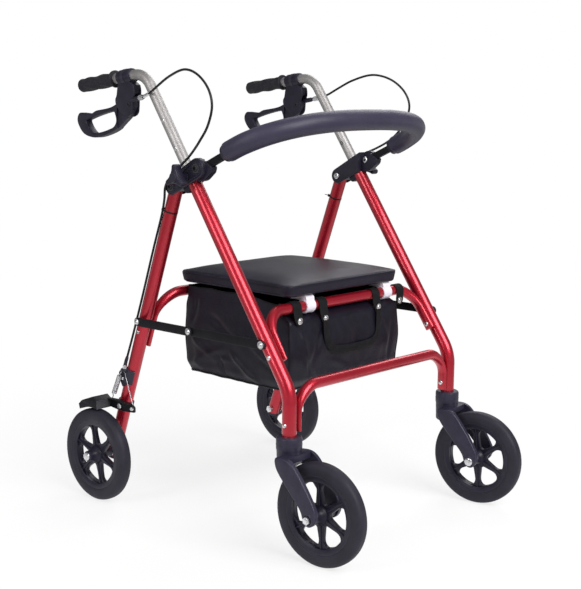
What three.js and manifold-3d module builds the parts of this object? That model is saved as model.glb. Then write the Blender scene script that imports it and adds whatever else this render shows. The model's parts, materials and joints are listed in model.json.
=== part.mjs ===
// Rollator walker: a folding four-wheeled walking frame with a seat, bag, backrest and loop brakes.
// Millimetres, +Z up. The origin is on the floor, under the middle of the walker. The casters lead
// towards -Y, the user stands at +Y, and X = 0 is the plane of symmetry. "left" and "right" are the
// user's own. Each side is drawn once, with +X outboard, and the right side is its mirror image.

import * as THREE from "three";
import { mergeVertices } from "three/addons/utils/BufferGeometryUtils.js";
import Module from "manifold-3d";

const wasm = await Module();
wasm.setup();

// ---- driving dimensions ----
const GAP = 0.3; // between pieces that touch
const WHEEL_RADIUS = 100;
const TYRE_WIDTH = 28;
const RIM_RADIUS = 76;
const HUB_HALF = 30; // half the length of a wheel's hub

const LEG_X = 251; // distance of each leg tube from the plane of symmetry
const LEG_RADIUS = 14;
const LEG_BORE = 11.8;
const STEM_Y = -222; // caster stems
const BEND_Z = 320; // where the front leg leans back
const LEG_SLOPE = 0.69; // run of the front leg for each unit of rise
const LEG_FOOT_Z = 216.5;
const LEG_TOP_Z = 720;

const FOLD_PIN = { y: 90, z: 687 };
const REAR_AXLE = { y: 300, z: WHEEL_RADIUS };
const REAR_WHEEL_X = 297;
const REAR_LEG_OVERRUN = 13; // leg left past the pin and past the axle

const CASTER_TRAIL = 78;
const CASTER_YAW = { left: 8, right: -4 }; // degrees, in each side's own drawing
const FORK_HALF = 42;
const FORK_SLOT_HALF = 32;
const COLLAR_TOP_Z = 236;

const CROSS_RADIUS = 11; // crossbar and both seat tubes
const CROSS_X = 225;
const CROSSBAR_Z = 326;
const FRONT_SEAT_Z = 455;
const REAR_SEAT_Z = 457;

const HANDLE_RADIUS = 11.1;
const HANDLE_BORE = 9.5;
const HANDLE_FOOT_Z = 584;
const HANDLE_BEND_Z = 909;
const HANDLE_BEND_RADIUS = 50;
const HANDLE_END_Y = 392;
const GRIP_SLOPE = -0.1226; // rise of the grip for each unit towards the user
const HOLE_PITCH = 65;
const HOLE_RADIUS = 3;

const KNOB_Z = 708; // the knob's screw crosses the leg's axis here
const BRACKET_HALF = 17.3;
const BRACKET_FRONT = { y: 16, z: 726 };
const PAD_TILT = 0.45; // the backrest's rise for each unit forward
const PAD_HALF_WIDTH = 253;
const PAD_DEPTH = 138;
const PAD_END_Y = -57;
const ARM_DROP = 1.5; // of the backrest's arms below the pad's slope
const PAD_RADIUS = 20.5;

const BRACE_REAR_Z = 401;
const BRACE_FRONT_Z = 404;
const BRACE_CENTRE_Y = 35;
const BRACE_WIDTH = 18;

const LEVER_PIVOT = { y: 225, z: 846 };
const BRAKE_PIVOT = { y: 252, z: 211 };
const CABLE_RADIUS = 2.4;

const SEAT = { halfWidth: 174, front: -146, rear: 178, bottom: 477.5, top: 511, corner: 34 };
const CLIP_X = { left: 139, right: 103 };
const SPOKE_PHASE = { rear: -12, caster: -4 }; // degrees that the spokes are turned at rest

// ---- materials ----
const paint = (color, roughness, metalness) => ({ color, roughness, metalness });
const RED = paint(0xa3182a, 0.28, 0.55);
const SILVER = paint(0xc4c2c6, 0.32, 0.9);
const BLACK_PLASTIC = paint(0x1c1c22, 0.5, 0);
const BLACK_STEEL = paint(0x17171b, 0.42, 0.4);
const RUBBER = paint(0x2a2a2f, 0.8, 0);
const FOAM = paint(0x35353e, 0.85, 0);
const VINYL = paint(0x26262d, 0.45, 0);
const NYLON = paint(0x15151b, 0.75, 0);
const WHITE_PLASTIC = paint(0xe6e0ea, 0.5, 0);
const ZINC = paint(0xb9b9bd, 0.35, 0.95);

// ---- solids ----
function toSolid(geometry) {
  const plain = geometry.clone();
  plain.deleteAttribute("normal");
  plain.deleteAttribute("uv");
  const merged = mergeVertices(plain, 1e-4);
  const vertProperties = new Float32Array(merged.attributes.position.array);
  const triVerts = new Uint32Array(merged.index.array);
  return new wasm.Manifold(new wasm.Mesh({ numProp: 3, vertProperties, triVerts }));
}

function toGeometry(solid) {
  const mesh = solid.getMesh();
  const geometry = new THREE.BufferGeometry();
  geometry.setAttribute("position", new THREE.BufferAttribute(mesh.vertProperties, 3));
  geometry.setIndex(new THREE.BufferAttribute(mesh.triVerts, 1));
  geometry.computeVertexNormals();
  return geometry;
}

function join(...pieces) {
  return toGeometry(pieces.map(toSolid).reduce((whole, piece) => whole.add(piece)));
}

function cut(body, ...tools) {
  return toGeometry(tools.map(toSolid).reduce((rest, tool) => rest.subtract(tool), toSolid(body)));
}

// A point in the side view, at distance x from the plane of symmetry.
const at = (x, p) => new THREE.Vector3(x, p.y, p.z);

// A straight round rod between two points.
function rod(from, to, radius, sides = 12, farRadius = radius) {
  const along = new THREE.Vector3().subVectors(to, from);
  const geometry = new THREE.CylinderGeometry(farRadius, radius, along.length(), sides);
  const turn = new THREE.Quaternion().setFromUnitVectors(
    new THREE.Vector3(0, 1, 0),
    along.clone().normalize(),
  );
  geometry.applyQuaternion(turn);
  return geometry.translate(...from.clone().addScaledVector(along, 0.5));
}

// A round pin along X through a point of the side view.
function pin(p, x0, x1, radius, sides = 12) {
  return rod(at(x0, p), at(x1, p), radius, sides);
}

// A block between two corners.
function block(low, high) {
  const size = high.map((v, i) => v - low[i]);
  const middle = high.map((v, i) => (v + low[i]) / 2);
  return new THREE.BoxGeometry(...size).translate(...middle);
}

// An outline drawn in the side view (Y to the right, Z up), extruded along X.
const SIDE_VIEW = new THREE.Matrix4().set(0, 0, 1, 0, 1, 0, 0, 0, 0, 1, 0, 0, 0, 0, 0, 1);
function plate(shape, x0, x1, curveSegments = 8) {
  const options = { depth: x1 - x0, bevelEnabled: false, curveSegments };
  const geometry = new THREE.ExtrudeGeometry(shape, options).applyMatrix4(SIDE_VIEW);
  return geometry.translate(x0, 0, 0);
}

const outline = (points) => new THREE.Shape(points.map(([y, z]) => new THREE.Vector2(y, z)));

// A profile of [radius, distance along X] pairs, turned about the X axis.
const ABOUT_X = new THREE.Matrix4().set(0, 1, 0, 0, 0, 0, 1, 0, 1, 0, 0, 0, 0, 0, 0, 1);
function turned(profile, sides = 24) {
  const points = profile.map(([r, x]) => new THREE.Vector2(r, x));
  return new THREE.LatheGeometry(points, sides).applyMatrix4(ABOUT_X);
}

// The outline that wraps two circles of the side view like a belt.
function beltOutline(a, ra, b, rb) {
  const heading = Math.atan2(b.z - a.z, b.y - a.y);
  const spread = Math.acos((ra - rb) / Math.hypot(b.y - a.y, b.z - a.z));
  const shape = new THREE.Shape();
  shape.absarc(b.y, b.z, rb, heading - spread, heading + spread, false);
  shape.absarc(a.y, a.z, ra, heading + spread, heading - spread + 2 * Math.PI, false);
  shape.closePath();
  return shape;
}

// A route made of stations, so that a tube has sections only where it needs them.
class Route extends THREE.Curve {
  constructor(stations) {
    super();
    this.stations = stations;
  }
  getPoint(t, target = new THREE.Vector3()) {
    const place = THREE.MathUtils.clamp(t, 0, 1) * (this.stations.length - 1);
    const from = Math.min(Math.floor(place), this.stations.length - 2);
    return target.lerpVectors(this.stations[from], this.stations[from + 1], place - from);
  }
  getPointAt(u, target) {
    return this.getPoint(u, target);
  }
  getTangent(t, target = new THREE.Vector3()) {
    const index = Math.round(t * (this.stations.length - 1));
    const before = this.stations[Math.max(index - 1, 0)];
    const here = this.stations[index];
    const after = this.stations[Math.min(index + 1, this.stations.length - 1)];
    const arriving = new THREE.Vector3().subVectors(here, before).normalize();
    const leaving = new THREE.Vector3().subVectors(after, here).normalize();
    return target.addVectors(arriving, leaving).normalize();
  }
  getTangentAt(u, target) {
    return this.getTangent(u, target);
  }
}

const circle = (radius, sides) => {
  const points = [];
  for (let i = 0; i < sides; i++) {
    const angle = (i / sides) * 2 * Math.PI;
    points.push(new THREE.Vector2(radius * Math.cos(angle), radius * Math.sin(angle)));
  }
  return new THREE.Shape(points);
};

function tube(stations, radius, sides = 16) {
  const extrudePath = new Route(stations);
  const options = { steps: stations.length - 1, extrudePath, bevelEnabled: false };
  return new THREE.ExtrudeGeometry(circle(radius, sides), options);
}

// The corners of a bent tube, each rounded to an arc of the bend's radius.
function bent(corners, radius, degreesPerStep = 15) {
  const stations = [corners[0].clone()];
  for (let i = 1; i < corners.length - 1; i++) {
    const arriving = new THREE.Vector3().subVectors(corners[i], corners[i - 1]).normalize();
    const leaving = new THREE.Vector3().subVectors(corners[i + 1], corners[i]).normalize();
    const angle = arriving.angleTo(leaving);
    const inset = radius * Math.tan(angle / 2);
    const towardCentre = new THREE.Vector3().subVectors(leaving, arriving).normalize();
    const centre = corners[i].clone().addScaledVector(towardCentre, radius / Math.cos(angle / 2));
    const start = corners[i].clone().addScaledVector(arriving, -inset).sub(centre);
    const axis = new THREE.Vector3().crossVectors(arriving, leaving).normalize();
    const steps = Math.ceil(THREE.MathUtils.radToDeg(angle) / degreesPerStep);
    for (let k = 0; k <= steps; k++) {
      stations.push(start.clone().applyAxisAngle(axis, (angle * k) / steps).add(centre));
    }
  }
  stations.push(corners[corners.length - 1].clone());
  return stations;
}

// ---- axes of the frame ----
const frontLegAt = (z) => ({ y: STEM_Y + (z - BEND_Z) * LEG_SLOPE, z });
const rearLean = (REAR_AXLE.y - FOLD_PIN.y) / (FOLD_PIN.z - REAR_AXLE.z);
const rearLegAt = (z) => ({ y: FOLD_PIN.y + (FOLD_PIN.z - z) * rearLean, z });
const rearLength = Math.hypot(REAR_AXLE.y - FOLD_PIN.y, REAR_AXLE.z - FOLD_PIN.z);
const gripAt = (y) => ({
  y,
  z: HANDLE_BEND_Z + (y - frontLegAt(HANDLE_BEND_Z).y) * GRIP_SLOPE,
});
const backrestAt = (y) => ({ y, z: BRACKET_FRONT.z + (BRACKET_FRONT.y - y) * PAD_TILT });
// A point beyond the ends of the rear leg, by a distance along it.
const beyondPin = (d) => rearLegAt(FOLD_PIN.z + (d * (FOLD_PIN.z - REAR_AXLE.z)) / rearLength);
const beyondAxle = (d) => rearLegAt(REAR_AXLE.z - (d * (FOLD_PIN.z - REAR_AXLE.z)) / rearLength);

const walker = new THREE.Group();

function addTo(group, name, geometry, look) {
  const mesh = new THREE.Mesh(geometry, new THREE.MeshStandardMaterial(look));
  mesh.name = name;
  group.add(mesh);
}

// ---- front frame ----
function frontLeg() {
  const corners = [
    at(LEG_X, { y: STEM_Y, z: LEG_FOOT_Z }),
    at(LEG_X, { y: STEM_Y, z: BEND_Z }),
    at(LEG_X, frontLegAt(LEG_TOP_Z)),
  ];
  const boreEnd = LEG_TOP_Z - 260;
  const bore = rod(
    at(LEG_X, frontLegAt(boreEnd)),
    at(LEG_X, frontLegAt(LEG_TOP_Z + 5)),
    LEG_BORE,
    16,
  );
  const screwHole = pin(frontLegAt(KNOB_Z), LEG_X, LEG_X + 20, HOLE_RADIUS + GAP, 10);
  return cut(tube(bent(corners, 80, 12), LEG_RADIUS), bore, screwHole);
}

// The ends of a cross tube are pressed flat where they lie against the legs.
const PRESSED_SHARE = 0.5;
const PRESSED_RUN = 40;
function pressEnds(geometry, underside) {
  const contact = CROSS_X + CROSS_RADIUS;
  const points = geometry.attributes.position;
  for (let i = 0; i < points.count; i++) {
    const pressed = THREE.MathUtils.smoothstep(underside - points.getZ(i), 0, PRESSED_RUN);
    const kept = 1 - (1 - PRESSED_SHARE) * pressed;
    const x = points.getX(i);
    points.setX(i, Math.sign(x) * (contact - (contact - Math.abs(x)) * kept));
  }
  return geometry;
}

// A U of tube whose ends run down beside a pair of legs.
function crossTube(end, level, radius) {
  const corners = [
    at(-CROSS_X, end),
    at(-CROSS_X, level),
    at(CROSS_X, level),
    at(CROSS_X, end),
  ];
  return pressEnds(tube(bent(corners, radius, 18), CROSS_RADIUS, 12), level.z - CROSS_RADIUS);
}

// The plastic joint that holds the front leg, the handle tube, the rear leg's pin and the backrest.
function bracket() {
  const inner = LEG_X - BRACKET_HALF;
  const outer = LEG_X + BRACKET_HALF;
  const body = plate(beltOutline(FOLD_PIN, 17, BRACKET_FRONT, 20), inner, outer, 6);
  const stop = pin({ y: 54, z: 683 }, LEG_X - 12, LEG_X + 12, 9.5, 10);
  const tongue = plate(
    outline([
      [34, 712],
      [-6, 727],
      [-17, 729],
      [-14, 719],
      [4, 702],
      [14, 698],
      [30, 700],
    ]),
    LEG_X - 8,
    LEG_X + 8,
  );
  const legBore = rod(
    at(LEG_X, frontLegAt(KNOB_Z - 80)),
    at(LEG_X, frontLegAt(KNOB_Z + 60)),
    LEG_RADIUS + GAP,
    16,
  );
  const cheekGap = LEG_RADIUS + 0.6;
  const pinRoom = pin(FOLD_PIN, LEG_X - cheekGap, LEG_X + cheekGap, 20, 14);
  const swingRoom = block([LEG_X - cheekGap, 70, 640], [LEG_X + cheekGap, 125, 688]);
  const pinHole = pin(FOLD_PIN, inner - 5, outer + 5, 4 + GAP, 10);
  const screwHole = pin(BRACKET_FRONT, inner - 5, outer + 5, HOLE_RADIUS + GAP, 10);
  const knobHole = pin(frontLegAt(KNOB_Z), LEG_X, outer + 5, HOLE_RADIUS + GAP, 10);
  const armRoom = backrestStrip(8.1, 5 + GAP, 30, -80);
  const innerCorner = block([inner - 5, -50, 695], [LEG_X + 5 + GAP, 27, 780]);
  return cut(
    join(cut(body, innerCorner), stop, tongue),
    legBore,
    pinRoom,
    swingRoom,
    pinHole,
    screwHole,
    knobHole,
    armRoom,
  );
}

// A flat bar along the slope of the backrest, between two places along Y.
function backrestStrip(halfHeight, halfThickness, rearY, frontY) {
  const slope = Math.atan(PAD_TILT);
  const up = { y: halfHeight * Math.sin(slope), z: halfHeight * Math.cos(slope) };
  const [rear, front] = [rearY, frontY].map((y) => ({ y, z: backrestAt(y).z - ARM_DROP }));
  const shape = outline([
    [rear.y - up.y, rear.z - up.z],
    [rear.y + up.y, rear.z + up.z],
    [front.y + up.y, front.z + up.z],
    [front.y - up.y, front.z - up.z],
  ]);
  return plate(shape, LEG_X - halfThickness, LEG_X + halfThickness);
}

function backrestArm() {
  const screwHole = pin(BRACKET_FRONT, LEG_X - 10, LEG_X + 10, HOLE_RADIUS + GAP, 10);
  return cut(backrestStrip(7.5, 5, 27, PAD_END_Y + 1), screwHole);
}

// A round-headed screw or rivet along X.
function bolt(p, x0, x1, shankRadius, headRadius, headHeight) {
  const middle = at(0, p);
  const profile = [
    [0, x0 - headHeight],
    [headRadius * 0.8, x0 - headHeight],
    [headRadius, x0],
    [shankRadius, x0],
    [shankRadius, x1],
    [headRadius, x1],
    [headRadius * 0.8, x1 + headHeight],
    [0, x1 + headHeight],
  ];
  return turned(profile, 10).translate(...middle);
}

// A three-lobed knob with its screw, whose tip presses on the handle tube.
function heightKnob() {
  const centre = frontLegAt(KNOB_Z);
  const lobes = [];
  const points = 36;
  for (let i = 0; i < points; i++) {
    const angle = (i / points) * 2 * Math.PI;
    const radius = 18 + 7.5 * Math.cos(3 * (angle - Math.PI / 2));
    lobes.push([centre.y + radius * Math.cos(angle), centre.z + radius * Math.sin(angle)]);
  }
  const face = LEG_X + BRACKET_HALF + 14;
  const head = plate(outline(lobes), face, face + 20);
  const neck = pin(centre, LEG_X + BRACKET_HALF + 1, face + 1, 8);
  const screw = pin(centre, LEG_X + HANDLE_RADIUS + GAP, face + 1, HOLE_RADIUS, 10);
  return join(head, neck, screw);
}

// ---- rear frame ----
function rearLeg() {
  const leg = rod(
    at(LEG_X, beyondAxle(REAR_LEG_OVERRUN)),
    at(LEG_X, beyondPin(REAR_LEG_OVERRUN)),
    LEG_RADIUS,
    16,
  );
  const hollow = rod(
    at(LEG_X, beyondAxle(REAR_LEG_OVERRUN + 2)),
    at(LEG_X, rearLegAt(FOLD_PIN.z - 12)),
    LEG_BORE,
    8,
  );
  const pinHole = pin(FOLD_PIN, LEG_X - 20, LEG_X + 20, 4 + GAP, 10);
  const axleHole = pin(REAR_AXLE, LEG_X - 20, LEG_X + 20, 5 + GAP, 10);
  return cut(leg, hollow, pinHole, axleHole);
}

// ---- wheels ----
// Drawn about the X axis at the origin, then moved to the axle.
const TREAD_FACETS = 36;
function tyre() {
  const half = TYRE_WIDTH / 2;
  // A flat of the tread, not an edge, touches the floor at the wheel's nominal radius.
  const crown = WHEEL_RADIUS / Math.cos(Math.PI / TREAD_FACETS);
  const profile = [
    [RIM_RADIUS, -half + 2],
    [crown - 9, -half],
    [crown - 2.5, -half + 4],
    [crown, -half + 10],
    [crown, half - 10],
    [crown - 2.5, half - 4],
    [crown - 9, half],
    [RIM_RADIUS, half - 2],
    [RIM_RADIUS, -half + 2],
  ];
  return turned(profile, TREAD_FACETS).rotateX(Math.PI / TREAD_FACETS);
}

const SPOKES = 6;
function rim(phase) {
  const felloe = 61.5; // inside radius of the rim's outer ring
  const ring = turned(
    [
      [felloe, -10],
      [RIM_RADIUS - 0.8, -12],
      [RIM_RADIUS - 0.8, 12],
      [felloe, 10],
      [felloe, -10],
    ],
    24,
  );
  const hub = turned(
    [
      [5 + GAP, -HUB_HALF],
      [12, -HUB_HALF],
      [17, -12],
      [17, 12],
      [12, HUB_HALF],
      [5 + GAP, HUB_HALF],
      [5 + GAP, -HUB_HALF],
    ],
    12,
  );
  const spokes = [];
  for (let i = 0; i < SPOKES; i++) {
    const angle = THREE.MathUtils.degToRad(phase + (i / SPOKES) * 360);
    spokes.push(block([-8, 15, -9], [8, felloe + 4, 9]).rotateX(angle));
  }
  return join(ring, hub, ...spokes);
}

// The caster fork: a socket that turns about the leg's foot, a hood over the tyre and two arms.
// Drawn with its stem on the Z axis and the wheel straight ahead, at -Y.
function casterFork() {
  const hub = { y: -CASTER_TRAIL, z: WHEEL_RADIUS };
  const profile = new THREE.Shape();
  profile.moveTo(3, 196);
  profile.lineTo(0, 184);
  profile.quadraticCurveTo(-6, 172, -22, 156);
  profile.lineTo(-61, 113);
  profile.quadraticCurveTo(hub.y + 13, 84, hub.y - 3, 85);
  profile.quadraticCurveTo(hub.y - 20, 92, -96, 115);
  profile.lineTo(-75, 150);
  profile.quadraticCurveTo(-54, 178, -40, 194);
  profile.quadraticCurveTo(-31, 205, -16, 205);
  profile.quadraticCurveTo(2, 204, 3, 196);
  const body = plate(profile, -FORK_HALF, FORK_HALF, 4);
  const wheelRoom = pin(hub, -FORK_SLOT_HALF, FORK_SLOT_HALF, WHEEL_RADIUS + 5.5, 28);
  const mouth = block([-FORK_SLOT_HALF, -90, 150], [FORK_SLOT_HALF, -26, 240]);
  const socketFoot = new THREE.Vector3(0, 0, 172);
  const socketTop = new THREE.Vector3(0, 0, 222);
  const socket = rod(socketFoot, socketTop, 21.5, 20);
  const collar = rod(new THREE.Vector3(0, 0, 207), new THREE.Vector3(0, 0, COLLAR_TOP_Z), 25, 20);
  const bore = rod(
    new THREE.Vector3(0, 0, LEG_FOOT_Z - 1),
    new THREE.Vector3(0, 0, COLLAR_TOP_Z + 5),
    LEG_RADIUS + 0.4,
    16,
  );
  const axleHole = pin(hub, -FORK_HALF - 5, FORK_HALF + 5, 5 + GAP, 10);
  return cut(join(body, socket, collar), wheelRoom, mouth, bore, axleHole);
}

// ---- handles and brakes ----
function handleTube() {
  const corners = [
    at(LEG_X, frontLegAt(HANDLE_FOOT_Z)),
    at(LEG_X, frontLegAt(HANDLE_BEND_Z)),
    at(LEG_X, gripAt(HANDLE_END_Y)),
  ];
  const bore = rod(
    at(LEG_X, frontLegAt(HANDLE_FOOT_Z - 2)),
    at(LEG_X, frontLegAt(HANDLE_BEND_Z - 48)),
    HANDLE_BORE,
    10,
  );
  const rise = HOLE_PITCH / Math.hypot(1, LEG_SLOPE);
  const holes = [-1, 0, 1, 2].map((step) =>
    pin(frontLegAt(KNOB_Z + step * rise), LEG_X - 20, LEG_X + 20, HOLE_RADIUS, 6),
  );
  return cut(tube(bent(corners, HANDLE_BEND_RADIUS, 14), HANDLE_RADIUS, 14), bore, ...holes);
}

const GRIP_FRONT_Y = 276;
function grip() {
  const length = 123.5;
  const start = gripAt(GRIP_FRONT_Y);
  const profile = [
    [HANDLE_RADIUS + GAP, 0],
    [18, 0],
    [18, 4],
    [14.5, 6],
    [14, length - 8],
    [11, length],
    [0, length],
    [0, length - 4],
    [HANDLE_RADIUS + GAP, length - 4],
    [HANDLE_RADIUS + GAP, 0],
  ];
  const geometry = turned(profile, 16);
  geometry.rotateZ(Math.PI / 2);
  geometry.rotateX(Math.atan(GRIP_SLOPE));
  return geometry.translate(LEG_X, start.y, start.z);
}

// The clamp on the handle tube, with two cheeks that carry the lever and a barrel for the cable.
const CHEEK_HALF = 10;
const LEVER_ROOT_HALF = 5.6;
function brakeHousing() {
  const shape = outline([
    [247, 908],
    [230, 908],
    [231, 897],
    [210, 885],
    [208, 868],
    [213, 856],
    [212, 830],
    [222, 821],
    [238, 821],
    [256, 834],
    [265, 846],
    [267, 856],
    [257, 863],
    [253, 884],
  ]);
  const body = plate(shape, LEG_X - CHEEK_HALF, LEG_X + CHEEK_HALF);
  const clamp = rod(at(LEG_X, gripAt(222)), at(LEG_X, gripAt(262)), 15.5, 16);
  const rootRoom = LEVER_ROOT_HALF + 0.4;
  const leverRoom = block([LEG_X - rootRoom, 150, 800], [LEG_X + rootRoom, 300, 870]);
  const corner = frontLegAt(HANDLE_BEND_Z);
  const route = bent(
    [at(LEG_X, frontLegAt(HANDLE_BEND_Z - 60)), at(LEG_X, corner), at(LEG_X, gripAt(300))],
    HANDLE_BEND_RADIUS,
    14,
  );
  const tubeRoom = tube(route, HANDLE_RADIUS + GAP, 14);
  const barrel = rod(
    new THREE.Vector3(LEG_X + 7, 214, 855),
    new THREE.Vector3(LEG_X + 13.4, 173.2, 862),
    4.5,
    12,
  );
  const pinHole = pin(LEVER_PIVOT, LEG_X - 20, LEG_X + 20, HOLE_RADIUS + GAP, 10);
  return cut(join(cut(body, leverRoom), clamp, cut(barrel, leverRoom)), tubeRoom, pinHole);
}

// The loop lever with its own pivot pin: a thin root between the housing's cheeks, then a wider
// loop with a finger bar above, a return bar below and a hooked end.
function brakeLever() {
  const root = outline([
    [216, 856],
    [216, 840],
    [228, 820],
    [250, 806],
    [285, 784],
    [290, 800],
    [268, 812],
    [273, 830],
    [295, 828],
    [295, 837],
    [269, 847],
    [250, 857],
    [230, 862],
  ]);
  const loop = outline([
    [270, 791],
    [306, 780],
    [340, 774],
    [366, 778],
    [385, 785],
    [400, 806],
    [400, 819],
    [393, 828],
    [367, 826],
    [352, 826],
    [339, 832],
    [290, 839],
    [274, 844],
    [262, 826],
    [260, 800],
  ]);
  const gap = [
    [276, 832],
    [267, 812],
    [277, 799],
    [310, 789],
    [345, 783],
    [362, 797],
    [371, 813],
    [346, 819],
    [307, 828],
  ];
  loop.holes.push(new THREE.Path(gap.map(([y, z]) => new THREE.Vector2(y, z))));
  return join(
    plate(root, LEG_X - LEVER_ROOT_HALF, LEG_X + LEVER_ROOT_HALF),
    plate(loop, LEG_X - 9, LEG_X + 9),
    pin(LEVER_PIVOT, LEG_X - CHEEK_HALF - 1, LEG_X + CHEEK_HALF + 1, HOLE_RADIUS, 10),
  );
}

// The brake cable's route, listed from the barrel down to the stop above the rear wheel.
const UPPER_CABLE = [
  [264.6, 172.6, 862.2],
  [267.5, 150, 870],
  [270, 128, 881],
  [275, 82, 902],
  [283, 28, 914],
  [291, -19, 902],
  [296, -52, 875],
  [298.5, -63, 846],
  [298.5, -51, 809],
  [296, -25, 779],
  [291, -6, 764],
  [283, 16, 751],
  [276, 34, 742],
  [272.6, 50, 733],
  [272.4, 67, 720],
  [272.3, 82, 707],
];
const LOWER_CABLE = [
  [272.3, 84, 705],
  [272.3, 94, 697],
  [272.2, 101.5, 684],
  [269.5, 107, 662],
  [264, 120, 634],
  [263, 150, 556],
  [263, 185, 458],
  [264.5, 214, 376],
  [268, 238, 306],
];

function cable(points, steps) {
  const curve = new THREE.CatmullRomCurve3(points.map((p) => new THREE.Vector3(...p)));
  return tube(curve.getSpacedPoints(steps), CABLE_RADIUS, 6);
}

// The guide on the rear leg that stops the cable's casing and lets the bare wire through.
function cableStop() {
  const low = rearLegAt(262);
  const high = rearLegAt(292);
  const sleeve = rod(at(LEG_X, low), at(LEG_X, high), 18, 16);
  const legRoom = rod(
    at(LEG_X, rearLegAt(240)),
    at(LEG_X, rearLegAt(320)),
    LEG_RADIUS + GAP,
    16,
  );
  const halfAway = block([LEG_X - 40, 150, 240], [LEG_X + 9, 330, 320]);
  const ledge = block([LEG_X + 14, high.y - 6, 286], [LEG_X + 20, high.y + 20, 291]);
  const cup = rod(
    new THREE.Vector3(268, 243, 290),
    new THREE.Vector3(268, 239, 302),
    8,
    12,
    4,
  );
  return cut(join(cut(sleeve, halfAway), ledge, cup), legRoom);
}

// The collar on the rear leg that carries the brake arm's pivot.
function brakeCollar() {
  const sleeve = rod(at(LEG_X, rearLegAt(205)), at(LEG_X, rearLegAt(218)), 17, 16);
  const legRoom = rod(
    at(LEG_X, rearLegAt(180)),
    at(LEG_X, rearLegAt(240)),
    LEG_RADIUS + GAP,
    16,
  );
  const stub = pin(BRAKE_PIVOT, LEG_X + 14.6, LEG_X + 27, 5);
  return join(cut(sleeve, legRoom), stub);
}

// The rocking brake arm: the cable pulls its front end up and its shoe comes down on the tyre.
function brakeArm() {
  const plateIn = LEG_X + 19;
  const web = plate(
    outline([
      [207, 205],
      [205, 214],
      [213, 220],
      [262, 221],
      [300, 218],
      [300, 206],
      [262, 202],
      [240, 202],
    ]),
    plateIn,
    plateIn + 4,
  );
  const clearance = WHEEL_RADIUS + 4.4; // of the shoe's curve, from the wheel's axle
  const shoe = new THREE.Shape();
  shoe.moveTo(284, 221);
  shoe.absarc(REAR_AXLE.y, REAR_AXLE.z, clearance, 1.72, 1.19, true);
  shoe.lineTo(348, 204);
  shoe.lineTo(343, 213);
  shoe.lineTo(300, 225);
  const pad = plate(shoe, plateIn, REAR_WHEEL_X + TYRE_WIDTH / 2);
  const hole = pin(BRAKE_PIVOT, plateIn - 5, plateIn + 10, 5 + GAP, 12);
  return cut(join(web, pad), hole);
}

function brakeSpring() {
  const coilTop = new THREE.Vector3(273, 252.5, 277);
  const coilEnd = new THREE.Vector3(273, 272.5, 235);
  const hookTop = new THREE.Vector3(270, 251, 285);
  const hookEnd = new THREE.Vector3(273, 277.5, 224.5);
  return join(
    rod(coilTop, coilEnd, 4.2, 10),
    rod(hookTop, coilTop, 1.1, 6),
    rod(coilEnd, hookEnd, 1.1, 6),
  );
}

// ---- folding brace ----
const braceRear = rearLegAt(BRACE_REAR_Z);
const braceFront = frontLegAt(BRACE_FRONT_Z);
const share = (braceRear.y - BRACE_CENTRE_Y) / (braceRear.y - braceFront.y);
const braceCentre = {
  y: BRACE_CENTRE_Y,
  z: BRACE_REAR_Z + (BRACE_FRONT_Z - BRACE_REAR_Z) * share,
};

function braceLink(from, to, x0) {
  return plate(beltOutline(from, BRACE_WIDTH / 2, to, BRACE_WIDTH / 2), x0, x0 + 3, 5);
}

// A rivet's head and the washer behind it, on a link.
function rivetHead(p, x0, x1, radius) {
  return pin(p, x0, x1, radius, 10);
}

function braceFrontLink() {
  const link = braceLink(braceCentre, braceFront, LEG_X + 16);
  return join(link, rivetHead(braceFront, LEG_X + 14 + GAP, LEG_X + 21, 5));
}

function braceRearLink() {
  const link = braceLink(braceRear, braceCentre, LEG_X + 20);
  return join(
    link,
    rivetHead(braceRear, LEG_X + 14 + GAP, LEG_X + 25, 5),
    rivetHead(braceCentre, LEG_X + 20, LEG_X + 25, 5),
  );
}

// ---- seat, bag and backrest ----
function seatPad() {
  const { halfWidth, front, rear, bottom, top, corner } = SEAT;
  const bevel = 7;
  const low = [-halfWidth + bevel, front + bevel];
  const high = [halfWidth - bevel, rear - bevel];
  const r = corner - bevel;
  const shape = new THREE.Shape();
  shape.absarc(high[0] - r, high[1] - r, r, 0, Math.PI / 2);
  shape.absarc(low[0] + r, high[1] - r, r, Math.PI / 2, Math.PI);
  shape.absarc(low[0] + r, low[1] + r, r, Math.PI, 1.5 * Math.PI);
  shape.absarc(high[0] - r, low[1] + r, r, 1.5 * Math.PI, 2 * Math.PI);
  shape.closePath();
  const geometry = new THREE.ExtrudeGeometry(shape, {
    depth: top - bottom - 2 * bevel,
    bevelThickness: bevel,
    bevelSize: bevel,
    bevelSegments: 2,
    curveSegments: 4,
  });
  return geometry.translate(0, 0, bottom + bevel);
}

// A clip that turns about the front seat tube, with a flat tab under the seat.
function seatClip(middle) {
  const centre = frontLegAt(FRONT_SEAT_Z);
  const inner = middle - 13;
  const outer = middle + 13;
  const ring = pin(centre, inner, outer, 14, 16);
  const tab = block([inner, centre.y, centre.z + 11.6], [outer, centre.y + 34, SEAT.bottom - 0.4]);
  const tubeRoom = pin(centre, inner - 5, outer + 5, CROSS_RADIUS + GAP, 16);
  return cut(join(ring, tab), tubeRoom);
}

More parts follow.
